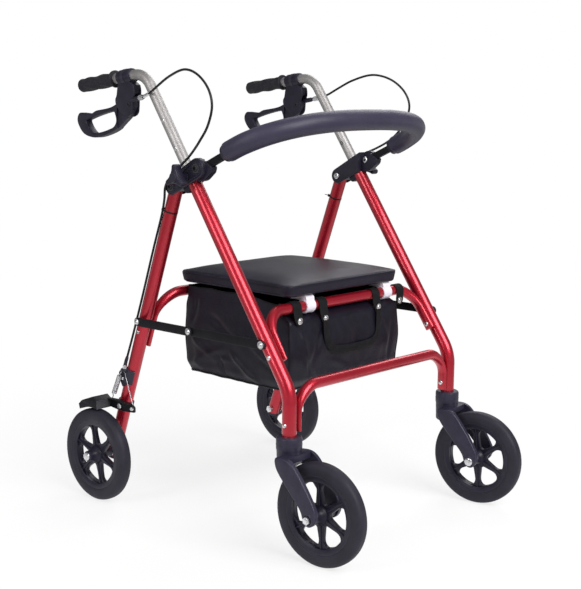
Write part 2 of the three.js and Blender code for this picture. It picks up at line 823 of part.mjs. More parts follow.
// The bag: a front, floor and back in one sheet, and two side walls, open under the seat.
function bag() {
  const half = 166;
  const wall = 3;
  const outer = [
    [156, 464],
    [158, 420],
    [156, 320],
    [148, 296],
    [80, 287],
    [-60, 285],
    [-128, 292],
    [-140, 310],
    [-143, 425],
    [-114, 447],
    [-112, 464],
  ];
  const inner = [
    [-112 + wall, 464],
    [-114 + wall, 448],
    [-143 + wall, 427],
    [-140 + wall, 311],
    [-127, 292 + wall],
    [-60, 285 + wall],
    [80, 287 + wall],
    [147, 296 + wall],
    [156 - wall, 320],
    [158 - wall, 420],
    [156 - wall, 464],
  ];
  const sheet = plate(outline([...outer, ...inner]), -half, half);
  const sides = [-half, half - wall].map((x) => plate(outline(outer), x, x + wall));
  return join(sheet, ...sides);
}

// The backrest pad: half of a rounded rectangle (a superellipse) in the backrest's slope.
function backrestPad() {
  const squareness = 2.5;
  const steps = 18;
  const stations = [];
  for (let i = 0; i <= steps; i++) {
    const angle = (i / steps) * Math.PI;
    const across = Math.sign(Math.cos(angle)) * Math.abs(Math.cos(angle)) ** (2 / squareness);
    const ahead = Math.abs(Math.sin(angle)) ** (2 / squareness);
    const place = backrestAt(PAD_END_Y - PAD_DEPTH * ahead);
    stations.push(at(PAD_HALF_WIDTH * across, place));
  }
  return tube(stations, PAD_RADIUS, 12);
}

// ---- assembly ----
for (const side of ["left", "right"]) {
  const half = new THREE.Group();
  half.scale.x = side === "right" ? -1 : 1;
  const add = (name, geometry, look) => addTo(half, name + "_" + side, geometry, look);

  add("front_leg", frontLeg(), RED);
  add("bracket", bracket(), BLACK_PLASTIC);
  const inner = LEG_X - BRACKET_HALF - GAP;
  const outer = LEG_X + BRACKET_HALF + GAP;
  add("bracket_screw", bolt(BRACKET_FRONT, inner, outer, HOLE_RADIUS, 6, 3), ZINC);
  add("fold_pin", bolt(FOLD_PIN, inner, outer, 4, 6, 3), ZINC);
  add("backrest_arm", backrestArm(), BLACK_STEEL);
  add("height_knob", heightKnob(), BLACK_PLASTIC);

  add("rear_leg", rearLeg(), RED);
  const legInside = LEG_X - LEG_RADIUS - GAP;
  const hubOutside = REAR_WHEEL_X + HUB_HALF + GAP;
  add("rear_axle", bolt(REAR_AXLE, legInside, hubOutside, 5, 8, 4), ZINC);
  const rearWheelPlace = [REAR_WHEEL_X, REAR_AXLE.y, REAR_AXLE.z];
  add("rear_tyre", tyre().translate(...rearWheelPlace), RUBBER);
  add("rear_rim", rim(SPOKE_PHASE.rear).translate(...rearWheelPlace), BLACK_PLASTIC);

  const caster = new THREE.Group();
  caster.position.set(LEG_X, STEM_Y, 0);
  caster.rotation.z = THREE.MathUtils.degToRad(CASTER_YAW[side]);
  const casterWheelPlace = [0, -CASTER_TRAIL, WHEEL_RADIUS];
  const casterAxle = { y: -CASTER_TRAIL, z: WHEEL_RADIUS };
  const addCaster = (name, geometry, look) => addTo(caster, name + "_" + side, geometry, look);
  addCaster("caster_fork", casterFork(), BLACK_PLASTIC);
  addCaster("caster_tyre", tyre().translate(...casterWheelPlace), RUBBER);
  addCaster("caster_rim", rim(SPOKE_PHASE.caster).translate(...casterWheelPlace), BLACK_PLASTIC);
  const forkFace = FORK_HALF + GAP;
  addCaster("caster_axle", bolt(casterAxle, -forkFace, forkFace, 5, 8, 4), ZINC);
  half.add(caster);

  add("handle_tube", handleTube(), SILVER);
  add("grip", grip(), RUBBER);
  add("brake_housing", brakeHousing(), BLACK_PLASTIC);
  add("brake_lever", brakeLever(), BLACK_PLASTIC);
  add("brake_cable_upper", cable(UPPER_CABLE, 26), RUBBER);
  add("brake_cable_lower", cable(LOWER_CABLE, 16), RUBBER);
  add("cable_stop", cableStop(), BLACK_STEEL);
  add("brake_collar", brakeCollar(), BLACK_PLASTIC);
  add("brake_arm", brakeArm(), BLACK_STEEL);
  add("brake_spring", brakeSpring(), SILVER);
  add("brace_front_link", braceFrontLink(), BLACK_STEEL);
  add("brace_rear_link", braceRearLink(), BLACK_STEEL);
  add("seat_clip", seatClip(CLIP_X[side]), WHITE_PLASTIC);
  walker.add(half);
}

const crossbarEnd = { y: STEM_Y, z: 243 };
const crossbarLevel = { y: STEM_Y, z: CROSSBAR_Z };
addTo(walker, "lower_crossbar", crossTube(crossbarEnd, crossbarLevel, 48), RED);
const frontSeatTube = crossTube(frontLegAt(372), frontLegAt(FRONT_SEAT_Z), 48);
addTo(walker, "front_seat_tube", frontSeatTube, RED);
addTo(walker, "rear_seat_tube", crossTube(rearLegAt(345), rearLegAt(REAR_SEAT_Z), 55), RED);
addTo(walker, "seat_pad", seatPad(), VINYL);
addTo(walker, "bag", bag(), NYLON);
addTo(walker, "backrest_pad", backrestPad(), FOAM);

export default walker;
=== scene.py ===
import json
import math
import bmesh
import bpy
from mathutils import Matrix, Quaternion, Vector, noise

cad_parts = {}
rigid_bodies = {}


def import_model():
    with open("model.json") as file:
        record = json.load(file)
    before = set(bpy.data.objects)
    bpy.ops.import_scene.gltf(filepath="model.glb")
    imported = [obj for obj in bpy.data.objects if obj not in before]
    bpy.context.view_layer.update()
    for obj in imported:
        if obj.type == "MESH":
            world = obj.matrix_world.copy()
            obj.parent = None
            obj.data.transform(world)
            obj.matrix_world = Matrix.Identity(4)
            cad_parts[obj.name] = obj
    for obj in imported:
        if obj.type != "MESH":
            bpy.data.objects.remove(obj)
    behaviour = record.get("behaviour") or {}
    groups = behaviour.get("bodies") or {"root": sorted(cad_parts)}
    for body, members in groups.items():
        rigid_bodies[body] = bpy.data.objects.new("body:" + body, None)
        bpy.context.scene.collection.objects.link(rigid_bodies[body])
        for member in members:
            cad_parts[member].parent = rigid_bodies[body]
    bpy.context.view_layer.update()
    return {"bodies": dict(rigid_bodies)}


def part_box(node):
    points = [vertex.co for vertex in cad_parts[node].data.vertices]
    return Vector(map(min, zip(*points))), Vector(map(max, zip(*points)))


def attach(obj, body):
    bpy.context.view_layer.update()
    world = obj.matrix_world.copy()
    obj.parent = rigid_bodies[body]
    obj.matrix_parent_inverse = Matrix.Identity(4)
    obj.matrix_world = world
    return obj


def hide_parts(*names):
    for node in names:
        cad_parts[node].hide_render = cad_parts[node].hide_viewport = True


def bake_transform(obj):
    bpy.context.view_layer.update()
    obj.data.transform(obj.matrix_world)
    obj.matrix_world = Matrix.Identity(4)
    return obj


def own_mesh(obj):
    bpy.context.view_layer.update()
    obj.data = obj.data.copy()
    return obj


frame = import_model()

MM = 0.001
SIDES = (("left", 1), ("right", -1))


# ---------------------------------------------------------------- camera, floor and light
def set_camera():
    data = bpy.data.cameras.new("camera")
    camera = bpy.data.objects.new("camera", data)
    bpy.context.scene.collection.objects.link(camera)
    azimuth, elevation, distance = math.radians(-46.87), math.radians(9.37), 2.555
    aim = Vector((0, 0.013, 0.4485))
    back = Vector((
        math.sin(azimuth) * math.cos(elevation),
        -math.cos(azimuth) * math.cos(elevation),
        math.sin(elevation),
    ))
    camera.location = aim + back * distance
    look = (-back).to_track_quat("-Z", "Y")
    roll = Quaternion((0, 0, 1), math.radians(0.48))
    camera.rotation_mode = "QUATERNION"
    camera.rotation_quaternion = look @ roll
    data.sensor_width = 36
    data.sensor_fit = "HORIZONTAL"
    data.lens = 74.3
    data.clip_end = 50
    bpy.context.scene.camera = camera


def area_light(name, place, aim, size, power):
    data = bpy.data.lights.new(name, "AREA")
    data.shape = "RECTANGLE"
    data.size, data.size_y = size
    data.energy = power
    light = bpy.data.objects.new(name, data)
    bpy.context.scene.collection.objects.link(light)
    light.location = place
    light.rotation_euler = (Vector(aim) - Vector(place)).to_track_quat("-Z", "Y").to_euler()


def map_range(node, low, high, to_low=0.0, to_high=1.0):
    """A node that turns low to high into to_low to to_high."""
    made = node("ShaderNodeMapRange")
    for socket, value in (("From Min", low), ("From Max", high),
                          ("To Min", to_low), ("To Max", to_high)):
        made.inputs[socket].default_value = value
    return made


def multiply_add(node, link, value, factor, more):
    """The output of value times factor plus more."""
    made = node("ShaderNodeMath")
    made.operation = "MULTIPLY_ADD"
    made.inputs[1].default_value = factor
    link(value, made.inputs[0])
    link(more, made.inputs[2])
    return made.outputs[0]


def cells_of(node, link, place, scale):
    """Small cells in the object's own space."""
    cells = node("ShaderNodeTexVoronoi")
    cells.inputs["Scale"].default_value = scale
    link(place.outputs["Object"], cells.inputs["Vector"])
    return cells


def nodes_of(material):
    material.use_nodes = True
    tree = material.node_tree
    tree.nodes.clear()
    return tree.nodes.new, tree.links.new


def set_studio():
    scene = bpy.context.scene
    scene.view_settings.view_transform = "Standard"
    scene.view_settings.look = "None"
    world = bpy.data.worlds.new("studio")
    scene.world = world
    node, link = nodes_of(world)
    background = node("ShaderNodeBackground")
    out = node("ShaderNodeOutputWorld")
    heading = node("ShaderNodeTexCoord")
    parts = node("ShaderNodeSeparateXYZ")
    height = map_range(node, -1, 1)
    shade = node("ShaderNodeValToRGB")
    stops = [(0.0, 0.55), (0.46, 0.66), (0.53, 0.38), (0.60, 0.20), (0.78, 0.16), (1.0, 0.42)]
    ramp = shade.color_ramp
    while len(ramp.elements) < len(stops):
        ramp.elements.new(0.5)
    for element, (position, value) in zip(ramp.elements, stops):
        element.position = position
        element.color = (value, value, value, 1)
    link(heading.outputs["Generated"], parts.inputs[0])
    link(parts.outputs["Z"], height.inputs["Value"])
    link(height.outputs["Result"], shade.inputs["Fac"])
    link(shade.outputs["Color"], background.inputs["Color"])
    # what is seen behind the object is plain white; what lights it is a darker studio
    backdrop = node("ShaderNodeBackground")
    backdrop.inputs["Color"].default_value = (1, 1, 1, 1)
    ray = node("ShaderNodeLightPath")
    choose = node("ShaderNodeMixShader")
    link(ray.outputs["Is Camera Ray"], choose.inputs["Fac"])
    link(background.outputs[0], choose.inputs[1])
    link(backdrop.outputs[0], choose.inputs[2])
    link(choose.outputs[0], out.inputs["Surface"])
    area_light("key", (-0.3, -3.3, 3.0), (0, 0, 0.5), (2.8, 2.6), 190)
    area_light("rim", (2.9, 1.2, 3.0), (0, 0, 0.6), (2.2, 2.8), 60)
    area_light("strip", (-3.3, 0.2, 1.9), (0, 0, 0.5), (0.9, 2.4), 48)
    # the floor glows, though it is no lamp: near the object most of it is glow, which paints out
    # its shadows, and for reflected rays the glow is a painted pool of light, bright near the
    # object and dim further out; a long way out the floor fades into the background
    floor = bpy.data.materials.new("floor")
    node, link = nodes_of(floor)
    shader = node("ShaderNodeBsdfDiffuse")
    shader.inputs["Color"].default_value = (0.93, 0.93, 0.93, 1)
    glow = node("ShaderNodeEmission")
    ray = node("ShaderNodeLightPath")
    # painted pool of light: reflected rays see the floor's glow at full strength near the object,
    # falling to 0.12 far out; the camera sees it at full strength everywhere
    seen = map_range(node, 0.7, 2.2, 1.0, 0.12)
    level = node("ShaderNodeMix")
    level.inputs["B"].default_value = 1.0
    clear = node("ShaderNodeBsdfTransparent")
    place = node("ShaderNodeTexCoord")
    length = node("ShaderNodeVectorMath")
    length.operation = "LENGTH"
    # painted-out shadow: near the object 0.74 of the floor is glow rather than diffuse, and all of
    # it is glow from 1.3 m out
    near = map_range(node, 0.3, 1.3, 0.74)
    far = map_range(node, 2.0, 4.5)
    glow_over_shadow = node("ShaderNodeMixShader")
    fade = node("ShaderNodeMixShader")
    out = node("ShaderNodeOutputMaterial")
    link(place.outputs["Object"], length.inputs[0])
    link(length.outputs["Value"], seen.inputs["Value"])
    link(ray.outputs["Is Camera Ray"], level.inputs["Factor"])
    link(seen.outputs["Result"], level.inputs["A"])
    link(level.outputs["Result"], glow.inputs["Strength"])
    link(length.outputs["Value"], near.inputs["Value"])
    link(length.outputs["Value"], far.inputs["Value"])
    link(near.outputs["Result"], glow_over_shadow.inputs["Fac"])
    link(shader.outputs[0], glow_over_shadow.inputs[1])
    link(glow.outputs[0], glow_over_shadow.inputs[2])
    link(far.outputs["Result"], fade.inputs["Fac"])
    link(glow_over_shadow.outputs[0], fade.inputs[1])
    link(clear.outputs[0], fade.inputs[2])
    link(fade.outputs[0], out.inputs["Surface"])
    rings, spokes = (0.0, 0.6, 1.2, 2.0, 3.2, 5.0), 48
    verts = [(0, 0, -0.0004)]
    for radius in rings[1:]:
        for k in range(spokes):
            turn = 2 * math.pi * k / spokes
            verts.append((radius * math.cos(turn), radius * math.sin(turn), -0.0004))
    faces = [(0, 1 + k, 1 + (k + 1) % spokes) for k in range(spokes)]
    for r in range(len(rings) - 2):
        a, b = 1 + r * spokes, 1 + (r + 1) * spokes
        for k in range(spokes):
            n = (k + 1) % spokes
            faces.append((a + k, b + k, b + n, a + n))
    mesh = bpy.data.meshes.new("floor")
    mesh.from_pydata(verts, [], faces)
    mesh.materials.append(floor)
    ground = bpy.data.objects.new("floor", mesh)
    scene.collection.objects.link(ground)


# ---------------------------------------------------------------- materials
MATERIALS = {}


def material(
    name,
    dark,
    light,
    rough,
    metallic=0.0,
    scale=40.0,
    stretch=(1, 1, 1),
    bump=0.1,
    bump_scale=600.0,
    bump_mm=0.15,
    coat=0.0,
    coat_rough=0.08,
    sheen=0.0,
    specular=0.5,
    wear=None,
    pattern=None,
    pattern_scale=300.0,
    pattern_strength=0.5,
):
    """A procedural finish: mottled colour, uneven roughness, fine bump, edge wear and a pattern."""
    made = bpy.data.materials.new(name)
    node, link = nodes_of(made)
    shader = node("ShaderNodeBsdfPrincipled")
    out = node("ShaderNodeOutputMaterial")
    link(shader.outputs[0], out.inputs["Surface"])
    shader.inputs["Metallic"].default_value = metallic
    shader.inputs["Specular IOR Level"].default_value = specular
    shader.inputs["Coat Weight"].default_value = coat
    shader.inputs["Coat Roughness"].default_value = coat_rough
    shader.inputs["Sheen Weight"].default_value = sheen
    shader.inputs["Sheen Roughness"].default_value = 0.4
    place = node("ShaderNodeTexCoord")
    mapping = node("ShaderNodeMapping")
    mapping.inputs["Scale"].default_value = stretch
    link(place.outputs["Object"], mapping.inputs["Vector"])
    mottle = node("ShaderNodeTexNoise")
    mottle.inputs["Scale"].default_value = scale
    mottle.inputs["Detail"].default_value = 6
    mottle.inputs["Roughness"].default_value = 0.62
    link(mapping.outputs[0], mottle.inputs["Vector"])
    ramp = node("ShaderNodeValToRGB")
    ramp.color_ramp.elements[0].position = 0.32
    ramp.color_ramp.elements[0].color = (*dark, 1)
    ramp.color_ramp.elements[1].position = 0.68
    ramp.color_ramp.elements[1].color = (*light, 1)
    link(mottle.outputs["Fac"], ramp.inputs["Fac"])
    color = ramp.outputs["Color"]
    rough_map = map_range(node, 0.3, 0.7, *rough)
    smudge = node("ShaderNodeTexNoise")
    smudge.inputs["Scale"].default_value = scale * 0.35
    smudge.inputs["Detail"].default_value = 4
    link(mapping.outputs[0], smudge.inputs["Vector"])
    link(smudge.outputs["Fac"], rough_map.inputs["Value"])
    link(rough_map.outputs["Result"], shader.inputs["Roughness"])
    fine = node("ShaderNodeTexNoise")
    fine.inputs["Scale"].default_value = bump_scale
    fine.inputs["Detail"].default_value = 3
    link(mapping.outputs[0], fine.inputs["Vector"])
    height = fine.outputs["Fac"]
    if pattern == "weave":
        height, color = weave(node, link, place, height, color, pattern_scale, pattern_strength)
    elif pattern == "grain":
        cells = node("ShaderNodeTexVoronoi")
        cells.feature = "DISTANCE_TO_EDGE"
        cells.inputs["Scale"].default_value = pattern_scale
        warped = node("ShaderNodeMixRGB")
        warped.blend_type = "ADD"
        warped.inputs["Fac"].default_value = 0.004
        link(place.outputs["Object"], warped.inputs["Color1"])
        link(fine.outputs["Color"], warped.inputs["Color2"])
        link(warped.outputs[0], cells.inputs["Vector"])
        lift = map_range(node, 0, 0.25)
        link(cells.outputs["Distance"], lift.inputs["Value"])
        height = multiply_add(node, link, lift.outputs["Result"], pattern_strength, height)
    elif pattern == "flake":
        cells = cells_of(node, link, place, pattern_scale)
        tint = node("ShaderNodeMixRGB")
        tint.blend_type = "SOFT_LIGHT"
        tint.inputs["Fac"].default_value = pattern_strength
        gray = node("ShaderNodeRGBToBW")
        link(cells.outputs["Color"], gray.inputs["Color"])
        link(color, tint.inputs["Color1"])
        link(gray.outputs[0], tint.inputs["Color2"])
        color = tint.outputs[0]
    elif pattern == "pores":
        cells = cells_of(node, link, place, pattern_scale)
        height = multiply_add(node, link, cells.outputs["Distance"], pattern_strength, height)
    if wear:
        edge = node("ShaderNodeNewGeometry")
        keep = map_range(node, 0.53, 0.60, 0, 0.55)
        link(edge.outputs["Pointiness"], keep.inputs["Value"])
        worn = node("ShaderNodeMixRGB")
        worn.inputs["Color2"].default_value = (*wear, 1)
        link(keep.outputs["Result"], worn.inputs["Fac"])
        link(color, worn.inputs["Color1"])
        color = worn.outputs[0]
    link(color, shader.inputs["Base Color"])
    relief = node("ShaderNodeBump")
    relief.inputs["Strength"].default_value = bump
    relief.inputs["Distance"].default_value = bump_mm * MM
    link(height, relief.inputs["Height"])
    link(relief.outputs["Normal"], shader.inputs["Normal"])
    MATERIALS[name] = made
    return made


def weave(node, link, place, height, color, scale, strength):
    """Two crossed sets of threads, turned a little so that they show on every side."""
    turned = node("ShaderNodeMapping")
    turned.inputs["Rotation"].default_value = (0.08, 0.06, 0.05)
    link(place.outputs["Object"], turned.inputs["Vector"])
    waves = []
    for direction in ("X", "Z", "Y"):
        wave = node("ShaderNodeTexWave")
        wave.bands_direction = direction
        wave.inputs["Scale"].default_value = scale
        wave.inputs["Distortion"].default_value = 0.4
        wave.inputs["Detail"].default_value = 1
        link(turned.outputs[0], wave.inputs["Vector"])
        waves.append(wave.outputs["Fac"])
    product = node("ShaderNodeMath")
    product.operation = "MULTIPLY"
    link(waves[0], product.inputs[0])
    link(waves[1], product.inputs[1])
    total = multiply_add(node, link, waves[2], 0.7, product.outputs[0])
    raised = multiply_add(node, link, total, strength, height)
    tint = node("ShaderNodeMixRGB")
    tint.blend_type = "MULTIPLY"
    tint.inputs["Fac"].default_value = 0.35
    link(color, tint.inputs["Color1"])
    link(total, tint.inputs["Color2"])
    return raised, tint.outputs[0]


def set_materials():
    material("red_paint", (0.41, 0.0065, 0.021), (0.50, 0.010, 0.031), (0.34, 0.42), 0.72, 14,
             bump=0.03, bump_scale=300, bump_mm=0.05, coat=0.6, coat_rough=0.18,
             wear=(0.50, 0.05, 0.06), pattern="flake", pattern_scale=3200, pattern_strength=0.08)
    material("silver_tube", (0.37, 0.355, 0.35), (0.46, 0.445, 0.44), (0.48, 0.56), 0.95, 40,
             stretch=(3, 1, 1), bump=0.03, bump_scale=200, bump_mm=0.05, wear=(0.7, 0.7, 0.7))
    material("black_plastic", (0.0095, 0.0082, 0.0185), (0.0165, 0.0143, 0.029),
             (0.36, 0.48), 0, 45,
             bump=0.3, bump_scale=1100, bump_mm=0.1, specular=0.30, wear=(0.045, 0.043, 0.06),
             pattern="pores", pattern_scale=1500, pattern_strength=0.6)
    material("fork_plastic", (0.0175, 0.0155, 0.0320), (0.0275, 0.0245, 0.0470),
             (0.34, 0.46), 0, 45,
             bump=0.3, bump_scale=1000, bump_mm=0.1, specular=0.32, wear=(0.05, 0.048, 0.07),
             pattern="pores", pattern_scale=1300, pattern_strength=0.6)
    material("black_steel", (0.0035, 0.0032, 0.0055), (0.007, 0.0063, 0.0098), (0.42, 0.55), 0, 50,
             bump=0.12, bump_scale=500, specular=0.18,
             wear=(0.10, 0.10, 0.11))
    material("zinc", (0.52, 0.52, 0.54), (0.78, 0.78, 0.80), (0.2, 0.36), 0.98, 220,
             bump=0.08, bump_scale=900, bump_mm=0.08, wear=(0.9, 0.9, 0.9))
    material("steel", (0.42, 0.42, 0.44), (0.62, 0.62, 0.64), (0.45, 0.58), 1.0, 300,
             bump=0.08, bump_scale=900, bump_mm=0.08)
    material("tyre", (0.0130, 0.0118, 0.0205), (0.0210, 0.0190, 0.031), (0.52, 0.68), 0, 26,
             bump=0.3, bump_scale=520, bump_mm=0.16, specular=0.3, wear=(0.04, 0.038, 0.048),
             pattern="pores", pattern_scale=900, pattern_strength=0.8)
    material("grip_rubber", (0.0105, 0.0095, 0.0145), (0.018, 0.0165, 0.024), (0.5, 0.66), 0, 60,
             bump=0.35, bump_scale=800, bump_mm=0.16, specular=0.32, wear=(0.045, 0.042, 0.055),
             pattern="pores", pattern_scale=1000, pattern_strength=0.8)
    material("cable_casing", (0.005, 0.005, 0.006), (0.009, 0.009, 0.011), (0.3, 0.42), 0, 80,
             bump=0.15, bump_scale=900, specular=0.3)
    material("white_plastic", (0.74, 0.70, 0.80), (0.86, 0.83, 0.90), (0.38, 0.5), 0, 60,
             bump=0.12, bump_scale=700, wear=(0.93, 0.92, 0.95))
    material("vinyl", (0.0075, 0.0060, 0.0150), (0.0115, 0.0095, 0.0210), (0.34, 0.45), 0, 9,
             bump=0.36, bump_scale=1000, bump_mm=0.24, specular=0.26, wear=(0.022, 0.020, 0.032),
             pattern="grain", pattern_scale=620, pattern_strength=0.9)
    material("nylon", (0.0034, 0.0028, 0.0085), (0.0080, 0.0066, 0.0165), (0.36, 0.50), 0, 7,
             bump=0.4, bump_scale=700, bump_mm=0.16, specular=0.28, sheen=0.03,
             wear=(0.014, 0.013, 0.022), pattern="weave", pattern_scale=210, pattern_strength=1.0)
    material("webbing", (0.0035, 0.0033, 0.0045), (0.0065, 0.006, 0.008), (0.6, 0.75), 0, 60,
             bump=0.5, bump_scale=700, bump_mm=0.25, specular=0.2, sheen=0.03,
             pattern="weave", pattern_scale=260, pattern_strength=1.4)
    material("thread", (0.010, 0.009, 0.014), (0.018, 0.017, 0.024), (0.6, 0.7), 0, 300,
             bump=0.3, bump_scale=1500, specular=0.2)
    material("foam", (0.0255, 0.0220, 0.0465), (0.036, 0.0315, 0.061), (0.40, 0.54), 0, 14,
             bump=0.35, bump_scale=700, bump_mm=0.2, specular=0.38, sheen=0.04,
             wear=(0.042, 0.038, 0.056), pattern="pores", pattern_scale=820, pattern_strength=0.9)


# ---------------------------------------------------------------- mesh building, in millimetres
def evaluated(o):
    """A new mesh of the object with its modifiers applied."""
    bpy.context.view_layer.update()
    return bpy.data.meshes.new_from_object(o.evaluated_get(bpy.context.evaluated_depsgraph_get()))


def apply_modifiers(o):
    """Gives the object its evaluated mesh, shaded smooth."""
    mesh = evaluated(o)
    o.modifiers.clear()
    o.data = mesh
    for polygon in mesh.polygons:
        polygon.use_smooth = True
    return mesh


def direction_at(points, i):
    """The direction of a line of points at one of them."""
    return (points[min(i + 1, len(points) - 1)] - points[max(i - 1, 0)]).normalized()


def lengths_to(points):
    """How far along a line of points each one is."""
    spans = [0.0]
    for a, b in zip(points, points[1:]):
        spans.append(spans[-1] + (b - a).length)
    return spans


class Shape:
    """Vertices in millimetres and faces; pieces of one object are added together."""

    def __init__(self):
        self.verts = []
        self.faces = []

    def add(self, verts, faces):
        start = len(self.verts)
        self.verts += [Vector(v) for v in verts]
        self.faces += [tuple(i + start for i in f) for f in faces]
        return self

    def join(self, *others):
        for other in others:
            self.add(other.verts, other.faces)
        return self

    def moved(self, matrix):
        made = Shape()
        made.add([matrix @ v for v in self.verts], self.faces)
        if matrix.determinant() < 0:
            made.faces = [tuple(reversed(f)) for f in made.faces]
        return made

    def shift(self, x, y, z):
        return self.moved(Matrix.Translation((x, y, z)))


def joined(*shapes):
    return Shape().join(*shapes)


def grid(rings, caps=(False, False)):
    """Faces between closed rings of the same number of points."""
    made = Shape()
    n = len(rings[0])
    verts = [p for ring in rings for p in ring]
    faces = []
    for r in range(len(rings) - 1):
        a, b = r * n, (r + 1) * n
        for k in range(n):
            m = (k + 1) % n
            faces.append((a + k, a + m, b + m, b + k))
    if caps[0]:
        faces.append(tuple(reversed(range(n))))
    if caps[1]:
        faces.append(tuple(range((len(rings) - 1) * n, len(rings) * n)))
    return made.add(verts, faces)


def frames_along(points):
    """A tangent and two side vectors at each point, turning as little as possible."""
    tangents = [direction_at(points, i) for i in range(len(points))]
    side = tangents[0].orthogonal().normalized()
    if abs(tangents[0].x) < 0.9:
        side = (Vector((1, 0, 0)) - tangents[0] * tangents[0].x).normalized()
    out = []
    for t in tangents:
        side = (side - t * side.dot(t)).normalized()
        out.append((t, side, t.cross(side)))
    return out


def sweep(points, radius, sides=28, caps=(True, True), round_ends=0):
    """A round bar along points. radius is a number or a function of (share along, angle)."""
    points = [Vector(p) for p in points]
    spans = lengths_to(points)
    rings = []
    frames = frames_along(points)
    for p, (t, u, v), s in zip(points, frames, spans):
        share = s / spans[-1]
        ring = []
        for k in range(sides):
            turn = 2 * math.pi * k / sides
            r = radius(share, turn) if callable(radius) else radius
            ring.append(p + (u * math.cos(turn) + v * math.sin(turn)) * r)
        rings.append(ring)
    if round_ends:
        for end, sign in ((0, -1), (-1, 1)):
            t, u, v = frames[end]
            p = points[end]
            base = rings[end]
            extra = []
            for k in range(1, 4):
                angle = k * math.pi / 8
                shrink = 1 - (1 - math.cos(angle)) * 0.9
                lift = t * sign * round_ends * math.sin(angle)
                extra.append([p + (q - p) * shrink + lift for q in base])
            if end == 0:
                rings = list(reversed(extra)) + rings
            else:
                rings = rings + extra
    return grid(rings, caps)


def hollow(points, radius, bore, depth_points, sides=28):
    """A tube closed at its first point and open at its last, bored for the last depth_points."""
    outer = sweep(points, radius, sides, (True, False))
    inner = sweep(points[-depth_points:], bore, sides, (True, False))
    inner.faces = [tuple(reversed(f)) for f in inner.faces]
    n, m = len(outer.verts) - sides, len(outer.verts) + len(inner.verts) - sides
    made = joined(outer, inner)
    for k in range(sides):
        j = (k + 1) % sides
        made.faces.append((n + k, n + j, m + j, m + k))
    return made


def bend(corners, radius, degrees=3.0):
    """The points of a bent tube, each corner rounded to an arc."""
    corners = [Vector(c) for c in corners]
    points = [corners[0]]
    for before, here, after in zip(corners, corners[1:], corners[2:]):
        a, b = (here - before).normalized(), (after - here).normalized()
        angle = a.angle(b)
        inset = radius * math.tan(angle / 2)
        centre = here + (b - a).normalized() * radius / math.cos(angle / 2)
        start = here - a * inset - centre
        axis = a.cross(b).normalized()
        steps = max(2, math.ceil(math.degrees(angle) / degrees))
        for k in range(steps + 1):
            points.append(Quaternion(axis, angle * k / steps) @ start + centre)
    points.append(corners[-1])
    # straight runs get a few points of their own, so that rings stay even
    full = [points[0]]
    for a, b in zip(points, points[1:]):
        pieces = max(1, int((b - a).length / 60))
        full += [a.lerp(b, (k + 1) / pieces) for k in range(pieces)]
    return full


def spline(points, count):
    """A smooth curve through points, evenly spaced."""
    pts = [Vector(p) for p in points]
    pts = [pts[0] * 2 - pts[1]] + pts + [pts[-1] * 2 - pts[-2]]
    fine = []
    for i in range(1, len(pts) - 2):
        p0, p1, p2, p3 = pts[i - 1], pts[i], pts[i + 1], pts[i + 2]
        d1 = max((p1 - p0).length, 1e-6) ** 0.5
        d2 = max((p2 - p1).length, 1e-6) ** 0.5
        d3 = max((p3 - p2).length, 1e-6) ** 0.5
        m1 = (p1 - p0) / d1 - (p2 - p0) / (d1 + d2) + (p2 - p1) / d2
        m2 = (p2 - p1) / d2 - (p3 - p1) / (d2 + d3) + (p3 - p2) / d3
        m1, m2 = m1 * d2, m2 * d2
        for k in range(24):
            t = k / 24
            fine.append(
                p1 * (2 * t**3 - 3 * t**2 + 1)
                + m1 * (t**3 - 2 * t**2 + t)
                + p2 * (-2 * t**3 + 3 * t**2)
                + m2 * (t**3 - t**2)
            )
    fine.append(pts[-2])
    spans = lengths_to(fine)
    out, i = [], 0
    for k in range(count):
        want = spans[-1] * k / (count - 1)
        while i < len(fine) - 2 and spans[i + 1] < want:
            i += 1
        step = spans[i + 1] - spans[i]
        out.append(fine[i].lerp(fine[i + 1], (want - spans[i]) / step if step else 0))
    return out


def rod(a, b, radius, sides=20, far=None, caps=(True, True)):
    far = radius if far is None else far
    return sweep([a, b], lambda s, _: radius + (far - radius) * s, sides, caps)


def lathe(profile, segments=48):
    """[radius, x] pairs turned about the X axis. A closed profile is written with equal ends."""
    rings = []
    for r, x in profile:
        rings.append([
            Vector((x, r * math.cos(2 * math.pi * k / segments),
                    r * math.sin(2 * math.pi * k / segments)))
            for k in range(segments)
        ])
    caps = (profile[0][0] > 1e-6, profile[-1][0] > 1e-6)
    return grid(rings) if profile[0] == profile[-1] else grid(rings, caps)


def tidy(o, angle):
    mesh = o.data
    work = bmesh.new()
    work.from_mesh(mesh)
    bmesh.ops.remove_doubles(work, verts=work.verts, dist=2e-6)
    bmesh.ops.recalc_face_normals(work, faces=work.faces)
    limit = math.radians(angle)
    for f in work.faces:
        f.smooth = True
    for e in work.edges:
        e.smooth = len(e.link_faces) != 2 or e.calc_face_angle(0) < limit
    work.to_mesh(mesh)
    work.free()


def build(name, shape, finish, body, angle=38, replaces=()):
    """Makes the object, in metres, and puts it on its body."""
    mesh = bpy.data.meshes.new(name)
    mesh.from_pydata([v * MM for v in shape.verts], [], shape.faces)
    mesh.materials.append(MATERIALS[finish])
    o = bpy.data.objects.new(name, mesh)
    bpy.context.scene.collection.objects.link(o)
    tidy(o, angle)
    if body:
        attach(o, body)
    if replaces:
        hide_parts(*replaces)
    return o


def rounded(points, radius, steps=5):
    """The corners of a closed outline, each eased into a curve. radius may be a list."""
    out = []
    n = len(points)
    for i, p in enumerate(points):
        r = radius[i] if isinstance(radius, (list, tuple)) else radius
        p, a, b = Vector(p), Vector(points[i - 1]), Vector(points[(i + 1) % n])
        da = min(r, (a - p).length * 0.48)
        db = min(r, (b - p).length * 0.48)
        start, end = p + (a - p).normalized() * da, p + (b - p).normalized() * db
        for k in range(steps + 1):
            t = k / steps
            out.append(start * (1 - t) ** 2 + p * 2 * t * (1 - t) + end * t**2)
    return out


